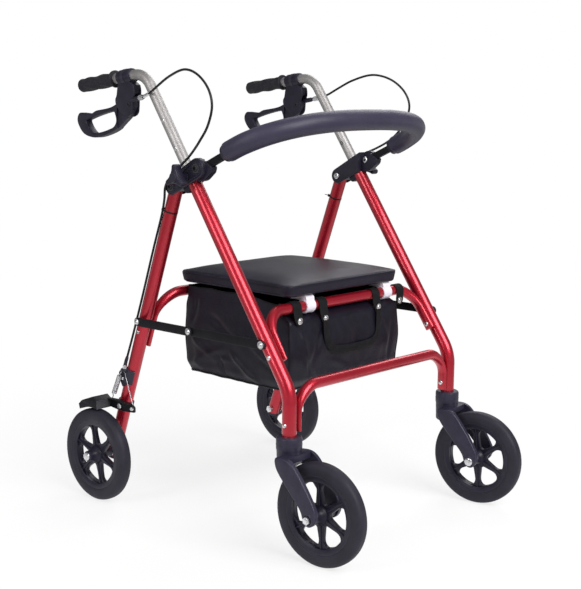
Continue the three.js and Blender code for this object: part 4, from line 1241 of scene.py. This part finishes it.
def make_brakes():
    ring = sleeve_on_leg(262, 292, 18)
    half_away = slab([(120, 220), (340, 220), (340, 330), (120, 330)], 150, LEG_X + 9, 0.1)
    clamp = carve(ring, half_away)
    clamp.join(
        slab(rounded([(236, 280), (258, 287), (262, 281), (256, 262), (250, 252), (238, 258)], 3),
             LEG_X + 13.4, LEG_X + 17.4, 0.8),
        slab(rounded([(232, 286), (250, 286), (252, 290), (233, 291)], 1),
             LEG_X + 14, LEG_X + 21, 0.8),
    )
    cup_low, cup_high = Vector((268, 243, 288)), Vector((268, 238.6, 305))
    lip = sweep([cup_low.lerp(cup_high, k) for k in (0, 0.04, 0.16, 0.2)],
                lambda s, _: 8.2 if 0.1 < s < 0.9 else 7.4, 36)
    boot = sweep([cup_low.lerp(cup_high, k) for k in (0.8, 0.85, 1.3, 1.6)],
                 lambda s, _: 4.0 - 1.2 * s, 28)
    barrel = sweep([cup_low.lerp(cup_high, 0.2 + 0.6 * k / 10) for k in range(11)],
                   lambda s, a: 4.6 + 0.25 * math.cos(16 * a) if 0.2 < s < 0.8 else 4.0, 64)
    both("casing_stop", joined(clamp, lip, boot), "black_plastic", "rear_frame", 34,
         ["cable_stop"])
    both("casing_adjuster", barrel, "zinc", "rear_frame")
    both("casing_stop_screw", rivet(249, 270, LEG_X + 17.4, 3.6, 1.8), "zinc", "rear_frame")

    collar = joined(
        sleeve_on_leg(204, 219, 17),
        rod(at(LEG_X + 13, BRAKE_PIVOT), at(LEG_X + 19, BRAKE_PIVOT), 7.5, 28),
        rod(at(LEG_X + 13, BRAKE_PIVOT), at(LEG_X + 25.5, BRAKE_PIVOT), 4.8, 24),
    )
    both("pivot_collar", collar, "black_plastic", "rear_frame", 34, ["brake_collar"])
    both("pivot_screw", bolt_head(*BRAKE_PIVOT, LEG_X + 24.4, 6.4, 2.6, 1), "zinc", "rear_frame")

    plate_in = LEG_X + 19
    web_line = rounded([(204, 204), (204, 216), (213, 221), (262, 222), (298, 220), (304, 206),
                        (262, 201), (236, 201)], [3, 3, 4, 8, 4, 4, 10, 10])
    web = slab(web_line, plate_in, plate_in + 4, 0.8)
    flange = slab(rounded([(214, 220.4), (262, 221.4), (300, 219.6), (300, 222), (262, 224),
                           (214, 222.8)], 0.8), plate_in, plate_in + 11, 0.6)
    shoe_line = [(284, 221), (298, 229.4), (337, 215), (349, 204.6)]
    under = circle(REAR_AXLE, 104.3, 16, 1.13, 1.72)
    pad = slab(rounded(shoe_line, 2.5)[3:-3] + under, plate_in, 311, 1.2)
    both("brake_rocker", joined(web, flange, pad), "black_steel", "brake_arm", 32, ["brake_arm"])
    lining_line = circle(REAR_AXLE, 104.4, 16, 1.16, 1.70)
    lining_line = circle(REAR_AXLE, 107.6, 16, 1.70, 1.16) + lining_line
    lining = slab(lining_line, plate_in + 12.4, 310.6, 0.5)
    both("brake_lining", lining, "grip_rubber", "brake_arm", 32)

    coil, turns, coil_radius = [], 22, 4.5
    top, foot = Vector((273, 252.5, 277)), Vector((273, 272.5, 235))
    axis = (foot - top).normalized()
    u = Vector((1, 0, 0))
    v = axis.cross(u).normalized()
    for k in range(turns * 16 + 1):
        turn = 2 * math.pi * k / 16
        round_axis = (u * math.cos(turn) + v * math.sin(turn)) * coil_radius
        coil.append(top.lerp(foot, k / (turns * 16)) + round_axis)
    coil = [Vector((270.5, 250, 286)), Vector((271.5, 250.6, 282)), *coil,
            Vector((273, 274.8, 230)), Vector((273, 277.5, 224.5))]
    both("return_spring", sweep(coil, 0.88, 8), "steel", "rear_frame", replaces=["brake_spring"])
    wire = [Vector((268, 243, 290)), Vector((269.6, 226, 248)), Vector((271.6, 209.5, 213))]
    wire_path = spline(wire, 24)
    both("brake_wire", sweep(wire_path, 1.0, 12), "steel", "rear_frame")
    nipple = joined(
        rod((269, 209.5, 212), (277.4, 209.5, 212), 4.2, 6),
        rod((277.4, 209.5, 212), (279.6, 209.5, 212), 2.4, 20),
    )
    both("wire_clamp", nipple, "zinc", "brake_arm")


# ---------------------------------------------------------------- folding brace
def make_braces():
    rear, front = rear_leg(401), front_leg(404)
    share = (rear[0] - 35) / (rear[0] - front[0])
    centre = (35, 401 + 3 * share)
    front_link = slab(belt(centre, 9, front, 9), LEG_X + 16, LEG_X + 19, 0.8)
    rear_link = slab(belt(rear, 9, centre, 9), LEG_X + 20, LEG_X + 23, 0.8)
    both("brace_link_front", front_link, "black_steel", "brace_front", 32, ["brace_front_link"])
    both("brace_link_rear", rear_link, "black_steel", "brace_rear", 32, ["brace_rear_link"])

    def pivot(p, x0, x1, washer):
        made = lathe([(washer, 0), (washer, 1.0), (4, 1.1), (4, 0), (washer, 0)], 32).shift(x0, *p)
        return made.join(rivet(*p, x1, 5.2, 3.0), rod(at(x0 - 1, p), at(x1 + 0.6, p), 4.4, 24))

    spacer = lathe([(7.5, 0), (7.5, 1.6), (4, 1.7), (4, 0), (7.5, 0)], 32)
    both("brace_pin_front", pivot(front, LEG_X + 19, LEG_X + 20.2, 7.6), "zinc", "brace_front")
    both("brace_spacer_front", spacer.shift(LEG_X + 14.1, *front), "black_plastic", "brace_front")
    rear_pins = joined(pivot(rear, LEG_X + 23, LEG_X + 24, 6.8),
                       pivot(centre, LEG_X + 23, LEG_X + 24, 6.8))
    both("brace_pins_rear", rear_pins, "zinc", "brace_rear")
    long_spacer = lathe([(8, 0), (8, 5.6), (4, 5.7), (4, 0), (8, 0)], 32)
    both("brace_spacer_rear", long_spacer.shift(LEG_X + 14.2, *rear), "black_plastic", "brace_rear")


# ---------------------------------------------------------------- seat cushion
SEAT_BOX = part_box("seat_pad")
SEAT_FRONT, SEAT_LOW = SEAT_BOX[0][1] / MM, SEAT_BOX[0][2] / MM
SEAT_X, SEAT_REAR, SEAT_HIGH = (side / MM for side in SEAT_BOX[1])
SEAT_Y = (SEAT_FRONT + SEAT_REAR) / 2
SEAT_DEEP = (SEAT_REAR - SEAT_FRONT) / 2


def rounded_box(half_x, y0, y1, z0, z1, corner, edge):
    """A box with rounded corners in plan and an eased edge above and below."""
    rings = []
    levels = [(z0 + edge * (1 - math.cos(a)), edge * (1 - math.sin(a)))
              for a in (math.pi / 2 * k / 4 for k in range(5))]
    levels += [(z1 - edge * (1 - math.cos(a)), edge * (1 - math.sin(a)))
               for a in (math.pi / 2 * (4 - k) / 4 for k in range(5))]
    for z, inset in levels:
        ring = []
        for cx, cy, start in ((half_x, y1, 0), (-half_x, y1, 90), (-half_x, y0, 180),
                              (half_x, y0, 270)):
            sx, sy = (1 if cx > 0 else -1), (1 if cy == y1 else -1)
            mx, my = cx - sx * corner, cy - sy * corner
            for k in range(9):
                turn = math.radians(start + 90 * k / 8)
                r = max(corner - inset, 0.5)
                ring.append(Vector((mx + r * math.cos(turn), my + r * math.sin(turn), z)))
        rings.append(ring)
    return grid(rings, (True, True))


def swell(o, pressure, cap, frames, floor_z, ceiling):
    """Lets a closed form swell like a filled cushion, by no more than the cap (millimetres)."""
    remesh = o.modifiers.new("even", "REMESH")
    remesh.mode = "VOXEL"
    remesh.voxel_size = 0.005
    bpy.context.view_layer.objects.active = o
    mesh = evaluated(o)
    o.modifiers.clear()
    old, o.data = o.data, mesh
    bpy.data.meshes.remove(old)
    before = [v.co.copy() for v in mesh.vertices]
    cloth = o.modifiers.new("swell", "CLOTH")
    cloth.settings.quality = 5
    cloth.settings.mass = 0.3
    cloth.settings.tension_stiffness = 30
    cloth.settings.compression_stiffness = 30
    cloth.settings.bending_stiffness = 2.0
    cloth.settings.use_pressure = True
    cloth.settings.uniform_pressure_force = pressure
    cloth.settings.effector_weights.gravity = 0
    cloth.collision_settings.use_collision = False
    cloth.point_cache.frame_start = 1
    cloth.point_cache.frame_end = frames
    for frame_number in range(1, frames + 1):
        bpy.context.scene.frame_set(frame_number)
    swollen = evaluated(o)
    after = [v.co.copy() for v in swollen.vertices]
    bpy.data.meshes.remove(swollen)
    o.modifiers.clear()
    bpy.context.scene.frame_set(1)
    for v, start, end in zip(mesh.vertices, before, after):
        move = end - start
        if move.length > cap * MM:
            move *= cap * MM / move.length
        place = start + move
        place.z = max(place.z, floor_z * MM)
        place.z = min(place.z, ceiling(place.x / MM, place.y / MM) * MM)
        v.co = place


def seat_ceiling(x, y):
    """The crown of the cushion: full in the middle, low at its edges."""
    u = min(1.0, abs(x) / SEAT_X)
    v = min(1.0, abs(y - SEAT_Y) / SEAT_DEEP)
    return SEAT_HIGH - 8.3 + 2.5 * (1 - u**3) * (1 - v**3)


def shoulder(inward):
    """How far the crown has risen at a distance in from the cushion's edge."""
    return 1 - (1 - max(0.0, min(1.0, inward / 62))) ** 2


def loop_on(o, half_x, y0, y1, z, corner, out):
    """A closed line round the cushion at a level, laid on its surface."""
    line = []
    centre = Vector((0, (y0 + y1) / 2, z))
    targets = rounded([(half_x, y0), (half_x, y1), (-half_x, y1), (-half_x, y0)], corner, 10)
    dense = []
    for a, b in zip(targets, targets[1:] + targets[:1]):
        pieces = max(1, int((b - a).length / 6))
        dense += [a.lerp(b, k / pieces) for k in range(pieces)]
    for p in dense:
        far = Vector((p.x, p.y, z))
        heading = far - centre
        heading.z = 0
        heading.normalize()
        # look inwards from outside, square to the nearest side
        outward = heading
        if abs(abs(p.x) - half_x) < 1 and y0 + corner < p.y < y1 - corner:
            outward = Vector((math.copysign(1, p.x), 0, 0))
        elif min(abs(p.y - y0), abs(p.y - y1)) < 1 and abs(p.x) < half_x - corner:
            outward = Vector((0, math.copysign(1, p.y - centre.y), 0))
        origin = far + outward * 30
        hit, place, _, _ = o.ray_cast(origin * MM, -outward, distance=0.08)
        line.append((place / MM if hit else far) + outward * out)
    # ease the line
    for _ in range(3):
        line = [
            (line[i - 1] + line[i] * 2 + line[(i + 1) % len(line)]) / 4 for i in range(len(line))
        ]
    return line


def closed_cord(line, radius, sides=10):
    """A thin cord along a closed line."""
    rings = []
    n = len(line)
    for i, p in enumerate(line):
        t = (line[(i + 1) % n] - line[i - 1]).normalized()
        u = t.cross(Vector((0, 0, 1))).normalized()
        v = u.cross(t)
        rings.append([
            p + (u * math.cos(2 * math.pi * k / sides) + v * math.sin(2 * math.pi * k / sides))
            * radius
            for k in range(sides)
        ])
    return grid([*rings, rings[0]])


def stitches(line, spacing, length, radius):
    """A row of thread stitches laid along a closed line."""
    made = Shape()
    spans, total = [], 0.0
    for a, b in zip(line, line[1:] + line[:1]):
        if (b - a).length < 1e-6:
            continue
        spans.append((total, a, b))
        total += (b - a).length
    count = int(total / spacing)
    index = 0
    for k in range(count):
        want = total * (k + 0.5) / count
        while index < len(spans) - 1 and spans[index + 1][0] < want:
            index += 1
        start, a, b = spans[index]
        t = (b - a).normalized()
        p = a + t * (want - start)
        points = [p - t * length / 2, p, p + t * length / 2]
        made.join(sweep(points, lambda s, _: radius * (1 - 0.75 * abs(2 * s - 1) ** 2), 5))
    return made


def make_cushion():
    start = rounded_box(SEAT_X + 4, SEAT_FRONT - 4, SEAT_REAR + 5, SEAT_LOW + 0.2, SEAT_HIGH - 8.5,
                        26, 2.6)
    o = build("seat_cushion", start, "vinyl", None, 180)
    swell(o, 3.4, 6.0, 20, SEAT_LOW, seat_ceiling)
    # soft dimples and a crown, so that the vinyl isn't dead flat
    for v in o.data.vertices:
        x, y, z = v.co / MM
        u, w = min(1.0, abs(x) / SEAT_X), min(1.0, abs(y - SEAT_Y) / SEAT_DEEP)
        if z > SEAT_HIGH - 16:
            crown = 8.0 * shoulder(SEAT_X - abs(x)) * shoulder(SEAT_DEEP - abs(y - SEAT_Y))
            crown += 2.5 * (1 - u**2) * (1 - w**2)
            slack = 0.7 * noise.noise(Vector((x, y, 0)) * 0.016)
            v.co.z = (z + crown + slack - 1.2) * MM
        # the sides draw in towards the board
        drawn = 1 - 0.022 * max(0.0, min(1.0, (SEAT_LOW + 24 - z) / 24))
        v.co.x *= drawn
        v.co.y = (SEAT_Y + (y - SEAT_Y) * drawn) * MM
        if z > SEAT_LOW + 3:
            side = max(u, w) ** 8
            ripple = 0.8 * noise.noise(Vector((x * 0.03, y * 0.03, z * 0.02)))
            v.co += v.normal * side * ripple * MM
    smooth = o.modifiers.new("smooth", "SUBSURF")
    smooth.levels = smooth.render_levels = 1
    mesh = apply_modifiers(o)
    mesh.materials.clear()
    mesh.materials.append(MATERIALS["vinyl"])
    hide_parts("seat_pad")
    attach(o, "seat")
    bpy.context.view_layer.update()
    plan = (SEAT_X + 4, SEAT_FRONT - 4, SEAT_REAR + 5)
    upper = loop_on(o, *plan, SEAT_HIGH - 11, 27, 0.2)
    lower = loop_on(o, *plan, SEAT_LOW + 5, 27, 0.1)
    piping = closed_cord(upper, 1.35)
    welt = closed_cord(lower, 0.9)
    build("seat_piping", joined(piping, welt), "vinyl", "seat", 60)
    below = loop_on(o, *plan, SEAT_HIGH - 14.4, 27, 0.15)
    build("seat_stitching", stitches(below, 4.2, 2.7, 0.34), "thread", "seat", 60)
    front, rear = SEAT_FRONT + 14, SEAT_REAR - 14
    board = slab(rounded([(front, SEAT_LOW - 0.3), (rear, SEAT_LOW - 0.3), (rear, SEAT_LOW + 1.4),
                          (front, SEAT_LOW + 1.4)], 0.6, 2), 15 - SEAT_X, SEAT_X - 15, 0.5)
    build("seat_board", board, "black_plastic", "seat")


# ---------------------------------------------------------------- seat clips
CLIPS = {"left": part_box("seat_clip_left"), "right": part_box("seat_clip_right")}


def make_clips():
    y, z = front_leg(FRONT_SEAT_Z)
    for side, _ in SIDES:
        low, high = CLIPS[side]
        middle = (low[0] + high[0]) / 2 / MM
        x0, x1 = middle - 13, middle + 13
        outer = slab(circle((y, z), 14, 56), x0, x1, 1.6)
        top = SEAT_LOW - 0.6
        tab = slab(rounded([(y - 9, z + 8), (y - 9, top - 4), (y - 5, top), (y + 34, top),
                            (y + 34, z + 11.6), (y + 10, z + 11.6), (y + 10, z + 6)],
                           [1, 3, 3, 1, 1, 2, 1]), x0 + 1, x1 - 1, 0.7)
        room = rod((x0 - 5, y, z), (x1 + 5, y, z), 11.3, 56)
        slot = slab([(y - 20, z - 16), (y - 4, z - 16), (y - 4, z - 13), (y - 20, z - 13)],
                    x0 - 5, x1 + 5, 0.1)
        clip = carve(outer, room, slot)
        rib = slab(rounded([(y - 10, z + 9), (y - 3, z + 14.5), (y + 8, z + 14.3), (y + 8, z + 10),
                            (y - 4, z + 11.6)], 1.2), x1 - 6, x1 - 2.4, 0.6)
        clip.join(carve(tab, room), rib)
        clip.join(slab(circle((y, z), 14.7, 56), x0 + 3, x0 + 5, 0.5, [circle((y, z), 13.2, 48)]))
        clip.join(slab(circle((y, z), 14.7, 56), x1 - 5, x1 - 3, 0.5, [circle((y, z), 13.2, 48)]))
        build(f"clip_{side}", clip, "white_plastic", "seat", 34, [f"seat_clip_{side}"])


# ---------------------------------------------------------------- bag
def share_of(value, stops):
    """A smooth step from each (place, value) stop to the next."""
    for (a, p), (b, q) in zip(stops, stops[1:]):
        if value <= b:
            t = max(0.0, min(1.0, (value - a) / (b - a)))
            t = t * t * (3 - 2 * t)
            return p + (q - p) * t
    return stops[-1][1]


BAG_TOP_Z, BAG_FLOOR_Z, BAG_MIDDLE_Y = 463.5, 289.0, 8
# Each wall's place from the top to the floor, as (share of the height, place).
BAG_FRONT = [(0, -112.5), (0.08, -114), (0.22, -142.5), (0.55, -146.5), (0.86, -142), (1, -131)]
BAG_REAR = [(0, 155), (0.2, 157), (0.5, 159), (0.85, 156), (1, 147)]
BAG_HALF = [(0, 166), (0.25, 169.5), (0.6, 171.5), (0.88, 170), (1, 165)]
# The front rim stays where it is, clear of the seat clips, and the rear wall stops short of the
# rear seat tube as the frame folds.
# creases: wall, start and end as (along, height), width and depth in millimetres
CREASES = [
    ("side", (25, 356), (146, 300), 9, 4.2), ("side", (25, 356), (-70, 292), 8, 4.4),
    ("side", (120, 456), (138, 392), 8, -3.6), ("side", (60, 340), (40, 296), 7, -3.4),
    ("side", (-20, 398), (-110, 330), 8, 3.0), ("side", (90, 420), (10, 372), 10, -3.0),
    ("side", (-30, 440), (-100, 400), 9, -2.6), ("side", (140, 372), (60, 330), 8, 2.6),
    ("side", (-60, 352), (-132, 300), 7, -3.0), ("side", (10, 330), (100, 318), 6, 2.4),
    ("front", (-146, 420), (-122, 316), 9, 3.6), ("front", (-68, 420), (-108, 330), 9, -3.0),
    ("front", (-140, 372), (-84, 300), 8, -3.2), ("front", (99, 424), (132, 330), 9, 3.0),
    ("front", (20, 400), (60, 312), 11, -2.4), ("front", (-60, 340), (30, 300), 9, 2.6),
    ("front", (150, 410), (140, 300), 7, -2.8),
    ("rear", (-120, 430), (-60, 330), 10, 3.2), ("rear", (120, 430), (50, 320), 10, 3.2),
    ("rear", (-20, 400), (40, 300), 11, -3.0), ("rear", (-140, 360), (-90, 300), 8, -2.8),
    ("rear", (140, 370), (100, 300), 8, -2.8),
]


def crease_depth(wall, along, height):
    total = 0.0
    for name, a, b, width, depth in CREASES:
        if name != wall:
            continue
        a, b, p = Vector(a), Vector(b), Vector((along, height))
        line = b - a
        t = max(0.0, min(1.0, (p - a).dot(line) / line.length_squared))
        # a crease bends a little on its way, and fades at its ends
        bow = 5.0 * math.sin(math.pi * t) * (1 if depth > 0 else -1)
        normal = Vector((-line.y, line.x)).normalized()
        away = (p - (a + line * t) - normal * bow).length
        fade = min(1.0, t * 4, (1 - t) * 4 + 0.15)
        total += depth * fade * math.exp(-((away / width) ** 2) * 1.6)
    return total


def bag_point(u, v, corner=7.0):
    """u runs round the bag, 0 to 1 from the middle of its front; v from its top to its floor."""
    front, rear, half = (share_of(v, stops) for stops in (BAG_FRONT, BAG_REAR, BAG_HALF))
    depth = rear - front
    sides = (half, depth, 2 * half, depth, half)
    total = sum(sides)
    d = (u % 1.0) * total
    z = BAG_TOP_Z - v * (BAG_TOP_Z - BAG_FLOOR_Z)
    if d < sides[0]:
        wall, p, out, along = "front", Vector((d, front, z)), Vector((0, -1, 0)), d
        edge = half - d
    elif d < half + depth:
        s = d - half
        wall, p, out, along = "side", Vector((half, front + s, z)), Vector((1, 0, 0)), front + s
        edge = min(s, depth - s)
    elif d < half * 3 + depth:
        s = d - half - depth
        wall, p, out, along = "rear", Vector((half - s, rear, z)), Vector((0, 1, 0)), half - s
        edge = min(s, 2 * half - s)
    elif d < half * 3 + depth * 2:
        s = d - half * 3 - depth
        wall, p, out, along = "side", Vector((-half, rear - s, z)), Vector((-1, 0, 0)), rear - s
        edge = min(s, depth - s)
    else:
        s = d - half * 3 - depth * 2
        wall, p, out, along = "front", Vector((-half + s, front, z)), Vector((0, -1, 0)), -half + s
        edge = s
    # round the upright corners
    if edge < corner:
        lost = corner - edge
        cut = corner - math.sqrt(max(0.0, corner**2 - lost**2))
        p -= out * cut * 0.9
    away = min(1.0, edge / 34)
    hold = min(1.0, v / 0.16)
    level = math.sin(math.pi * min(1.0, max(0.0, v)))
    sag = (3.2 if wall != "rear" else 1.0) * level * away
    swing = Vector((p.x, p.y, p.z)) * 0.014
    rough = 2.6 * noise.noise(swing) + 1.2 * noise.noise(swing * 2.7)
    rough += 1.4 * (0.35 - abs(noise.noise(swing * 1.6 + Vector((5, 2, 7)))))
    fold = crease_depth(wall, along, z)
    limit = 1.6 if wall == "rear" else 8.0
    move = sag + (rough + fold) * away * hold
    p += out * max(-8.0, min(limit, move))
    # the side and rear walls reach up to the cushion
    climb = max(0.0, min(1.0, (p.y - BAG_FRONT[0][1] - 30) / 40))
    p.z += 9.0 * climb * max(0.0, 1 - v / 0.3)
    # the hem droops between the places that hold it
    if v < 0.3:
        droop = 3.0 * abs(math.sin(along * math.pi / 83.0)) * (1 - v / 0.3)
        if wall != "front":
            droop *= 0.8
        p.z -= droop
    if v > 0.9:
        p.z -= 1.5 * noise.noise(Vector((p.x, p.y, 0)) * 0.03)
    return p


def outwards(p):
    """The level direction from the bag's middle to a point."""
    return Vector((p.x, p.y - BAG_MIDDLE_Y, 0)).normalized()


def make_bag():
    around, down, across = 320, 50, 12
    rings = []
    for j in range(down + 1):
        rings.append([bag_point(i / around, j / down) for i in range(around)])
    # the floor: rings that shrink to the middle, sagging a little
    centre = Vector((0, BAG_MIDDLE_Y, 286.6))
    last = rings[-1]
    for j in range(1, across + 1):
        share = j / across
        turn_in = 1 - share
        ring = []
        for p in last:
            q = centre + (p - centre) * turn_in
            ease = min(1.0, share * 3.2)
            level = BAG_FLOOR_Z - 3.2 * math.sqrt(ease) * (1 - 0.25 * ease)
            wave = 1.6 * noise.noise(Vector((q.x, q.y, 3)) * 0.02) * ease
            q.z = p.z * (1 - ease) + (level + wave) * ease
            ring.append(q)
        rings.append(ring)
    shell = grid(rings)
    o = build("bag_shell", shell, "nylon", None, 180)
    thick = o.modifiers.new("thick", "SOLIDIFY")
    thick.thickness = 0.0011
    thick.offset = -1
    apply_modifiers(o)
    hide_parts("bag")
    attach(o, "front_frame")
    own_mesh(o)

    # seams down the corners and round the floor, and a bound hem
    seams = Shape()
    for u in corner_places():
        line = [bag_point(u, v / 40) for v in range(1, 41)]
        seams.join(sweep([p + outwards(p) * 0.7 for p in line], 1.0, 8, round_ends=0.4))
    floor_line = [bag_point(i / 240, 0.985) for i in range(240)]
    floor_line = [p + outwards(p) * 0.8 for p in floor_line]
    seams.join(closed_cord(floor_line, 1.1, 8))
    hem_line = [bag_point(i / 240, 0.004) for i in range(240)]
    seams.join(closed_cord(hem_line, 1.3, 8))
    piece = build("bag_seams", seams, "webbing", "front_frame", 60)
    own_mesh(piece)
    thread = Shape()
    line = [bag_point(i / 300, 0.105) for i in range(300)]
    line = [p + outwards(p) * 0.35 for p in line]
    thread.join(stitches(line, 4.6, 3.0, 0.3))
    piece = build("bag_stitching", thread, "thread", "front_frame", 60)
    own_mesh(piece)


def corner_places():
    """Where the bag's upright corners are, as shares of the way round."""
    half, depth = 166.0, 303.0
    total = 4 * half + 2 * depth
    return (half / total, (half + depth) / total, (3 * half + depth) / total,
            (3 * half + 2 * depth) / total)


def ribbon(path, width, thickness, round_end):
    """A flat strap along a path, its width along X, with a rounded far end."""
    axis = Vector((1, 0, 0))
    rings = []
    spans = lengths_to(path)
    for i, p in enumerate(path):
        out = direction_at(path, i).cross(axis).normalized()
        half = width / 2
        left = spans[-1] - spans[i]
        if left < round_end:
            half *= math.sqrt(max(0.02, 1 - ((round_end - left) / round_end) ** 2))
        ring = []
        for su, sv in ((-1, -1), (-0.92, -1), (0, -1.08), (0.92, -1), (1, -1),
                       (1, 1), (0.92, 1), (0, 1.08), (-0.92, 1), (-1, 1)):
            edge = 0.55 if abs(su) == 1 else 1.0
            ring.append(p + axis * half * su + out * (thickness / 2) * sv * edge)
        rings.append(ring)
    return grid(rings, (True, True))


def snap(x, y, z, radius=7.0):
    """A domed press stud that faces forward, with its ring."""
    profile = [(radius, 0), (radius, 0.8), (radius * 0.84, 1.3), (radius * 0.62, 1.25),
               (radius * 0.5, 1.9), (radius * 0.28, 2.5), (0, 2.7)]
    turn = Matrix.Rotation(math.radians(-90), 4, "Z")
    return lathe(profile, 28).moved(Matrix.Translation((x, y, z)) @ turn)


# each strap, by its x and its stud's z, kept clear of the clips beside it
LOOPS = ((-144, 431), (-68, 427), (99, 430), (180, 434))


def make_loops():
    y, z = front_leg(FRONT_SEAT_Z)
    straps, studs = Shape(), Shape()
    for x, stud_z in LOOPS:
        arc = []
        for k in range(17):
            turn = math.radians(-20 + 205 * k / 16)
            arc.append(Vector((x, y + 12.4 * math.cos(turn), z + 12.4 * math.sin(turn))))
        down = [Vector((x, y - 13.2, z - 8)), Vector((x, y - 14.5, z - 15)),
                Vector((x, -146.6, 432)), Vector((x, -147.8, stud_z - 4)),
                Vector((x, -148.0, stud_z - 10))]
        if x > 170:
            down = [Vector((x, y - 12.6, z - 6)), Vector((x, y - 11.5, z - 14)),
                    Vector((x, y - 11.6, stud_z - 4)), Vector((x, y - 11.6, stud_z - 9))]
        back = [Vector((x, y + 13, z - 12)), Vector((x, y + 12.6, z - 8))]
        path = spline([*back, *arc, *down], 60)
        straps.join(ribbon(path, 24, 1.5, round_end=12))
        face = path[-1].y
        studs.join(snap(x, face - 0.4, stud_z))
    handle = [(-68, 424), (-67, 398), (-62, 376), (-48, 364), (-24, 359), (14, 357), (54, 358),
              (80, 362), (93, 373), (98, 394), (99, 426)]
    line = spline([Vector((x, -149.6 - 2.6 * math.sin(math.pi * k / 10), h))
                   for k, (x, h) in enumerate(handle)], 90)
    # the carry handle's webbing lies against the front, turning with its path
    rings = []
    for i, p in enumerate(line):
        t = direction_at(line, i)
        side = Vector((0, -1, 0)).cross(t).normalized()
        out = t.cross(side).normalized()
        out = out if out.y < 0 else -out
        side = side * 8.5
        rings.append([p - side, p - side * 0.9 + out * 0.8, p + out * 1.0,
                      p + side * 0.9 + out * 0.8, p + side, p + side * 0.9 - out * 0.8,
                      p - out * 1.0, p - side * 0.9 - out * 0.8])
    straps.join(grid(rings, (True, True)))
    build("bag_loops", straps, "webbing", "front_frame", 60)
    build("bag_studs", studs, "zinc", "front_frame")
    # two tabs on the outside of the bag's rear edge
    tabs = Shape()
    for x in (-110, 110):
        path = [Vector((x, 156, 462)), Vector((x, 158.5, 450)), Vector((x, 159.2, 430)),
                Vector((x, 159.4, 416))]
        tabs.join(ribbon(spline(path, 20), 19, 1.4, round_end=8))
    piece = build("bag_rear_tabs", tabs, "webbing", "front_frame", 60)
    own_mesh(piece)


# ---------------------------------------------------------------- backrest
PAD_END_Y, PAD_DEPTH, PAD_HALF = -57, 138, 253


def pad_route(steps=160):
    route = []
    for i in range(steps + 1):
        a = math.pi * i / steps
        c, s = math.cos(a), math.sin(a)
        across = math.copysign(abs(c) ** (2 / 2.5), c)
        ahead = abs(s) ** (2 / 2.5)
        route.append(at(PAD_HALF * across, backrest(PAD_END_Y - PAD_DEPTH * ahead)))
    # even steps
    return spline(route[:: max(1, steps // 40)], 150)


def make_backrest():
    route = pad_route()

    def pad_radius(share, turn):
        end = min(share, 1 - share) * 720
        ease = 1.0 if end > 7 else math.sqrt(max(0.0, 1 - ((7 - end) / 7.6) ** 2)) * 0.45 + 0.55
        drift = 0.35 * noise.noise(Vector((share * 22, math.cos(turn), math.sin(turn))))
        return (20.2 + drift) * ease

    pad = sweep(route, pad_radius, 56, round_ends=1.0)
    o = build("backrest_foam", pad, "foam", "front_frame", 60, ["backrest_pad"])
    # the sleeve's sewn seam along the lower rear of the pad
    frames = frames_along(route)
    seam = []
    for p, (t, _, _) in zip(route, frames):
        down = Vector((0, 0, -1))
        down = (down - t * down.dot(t)).normalized()
        seam.append(p + down * 20.0)
    build("backrest_seam", sweep(seam[4:-4], 0.8, 8, round_ends=0.4), "foam", "front_frame", 60)
    arms = Shape()
    slope = math.atan(BACKREST_SLOPE)
    up = Vector((math.sin(slope), math.cos(slope))) * 7.5
    rear, front = Vector(backrest(25)) - Vector((0, 1.5)), Vector(backrest(-58)) - Vector((0, 1.5))
    line = rounded([rear - up, rear + up, front + up, front - up], [7, 7, 2, 2])
    arms.join(slab(line, LEG_X - 5, LEG_X + 5, 1.4))
    both("backrest_bar", arms, "black_steel", "front_frame", 34, ["backrest_arm"])
    cup_from = at(LEG_X + 1, backrest(-50))
    cup_to = at(LEG_X + 1, backrest(-60))
    cup = sweep([cup_from, cup_from.lerp(cup_to, 0.3), cup_to],
                lambda s, _: 13 if s < 0.1 else 17, 44)
    both("backrest_cup", cup, "black_plastic", "front_frame", 40)


set_camera()
set_studio()
set_materials()
make_front_frame()
make_rear_frame()
make_casters()
make_rear_wheels()
make_bracket()
make_knob()
make_handle()
make_levers()
make_cables()
make_brakes()
make_braces()
make_cushion()
make_clips()
make_bag()
make_loops()
make_backrest()
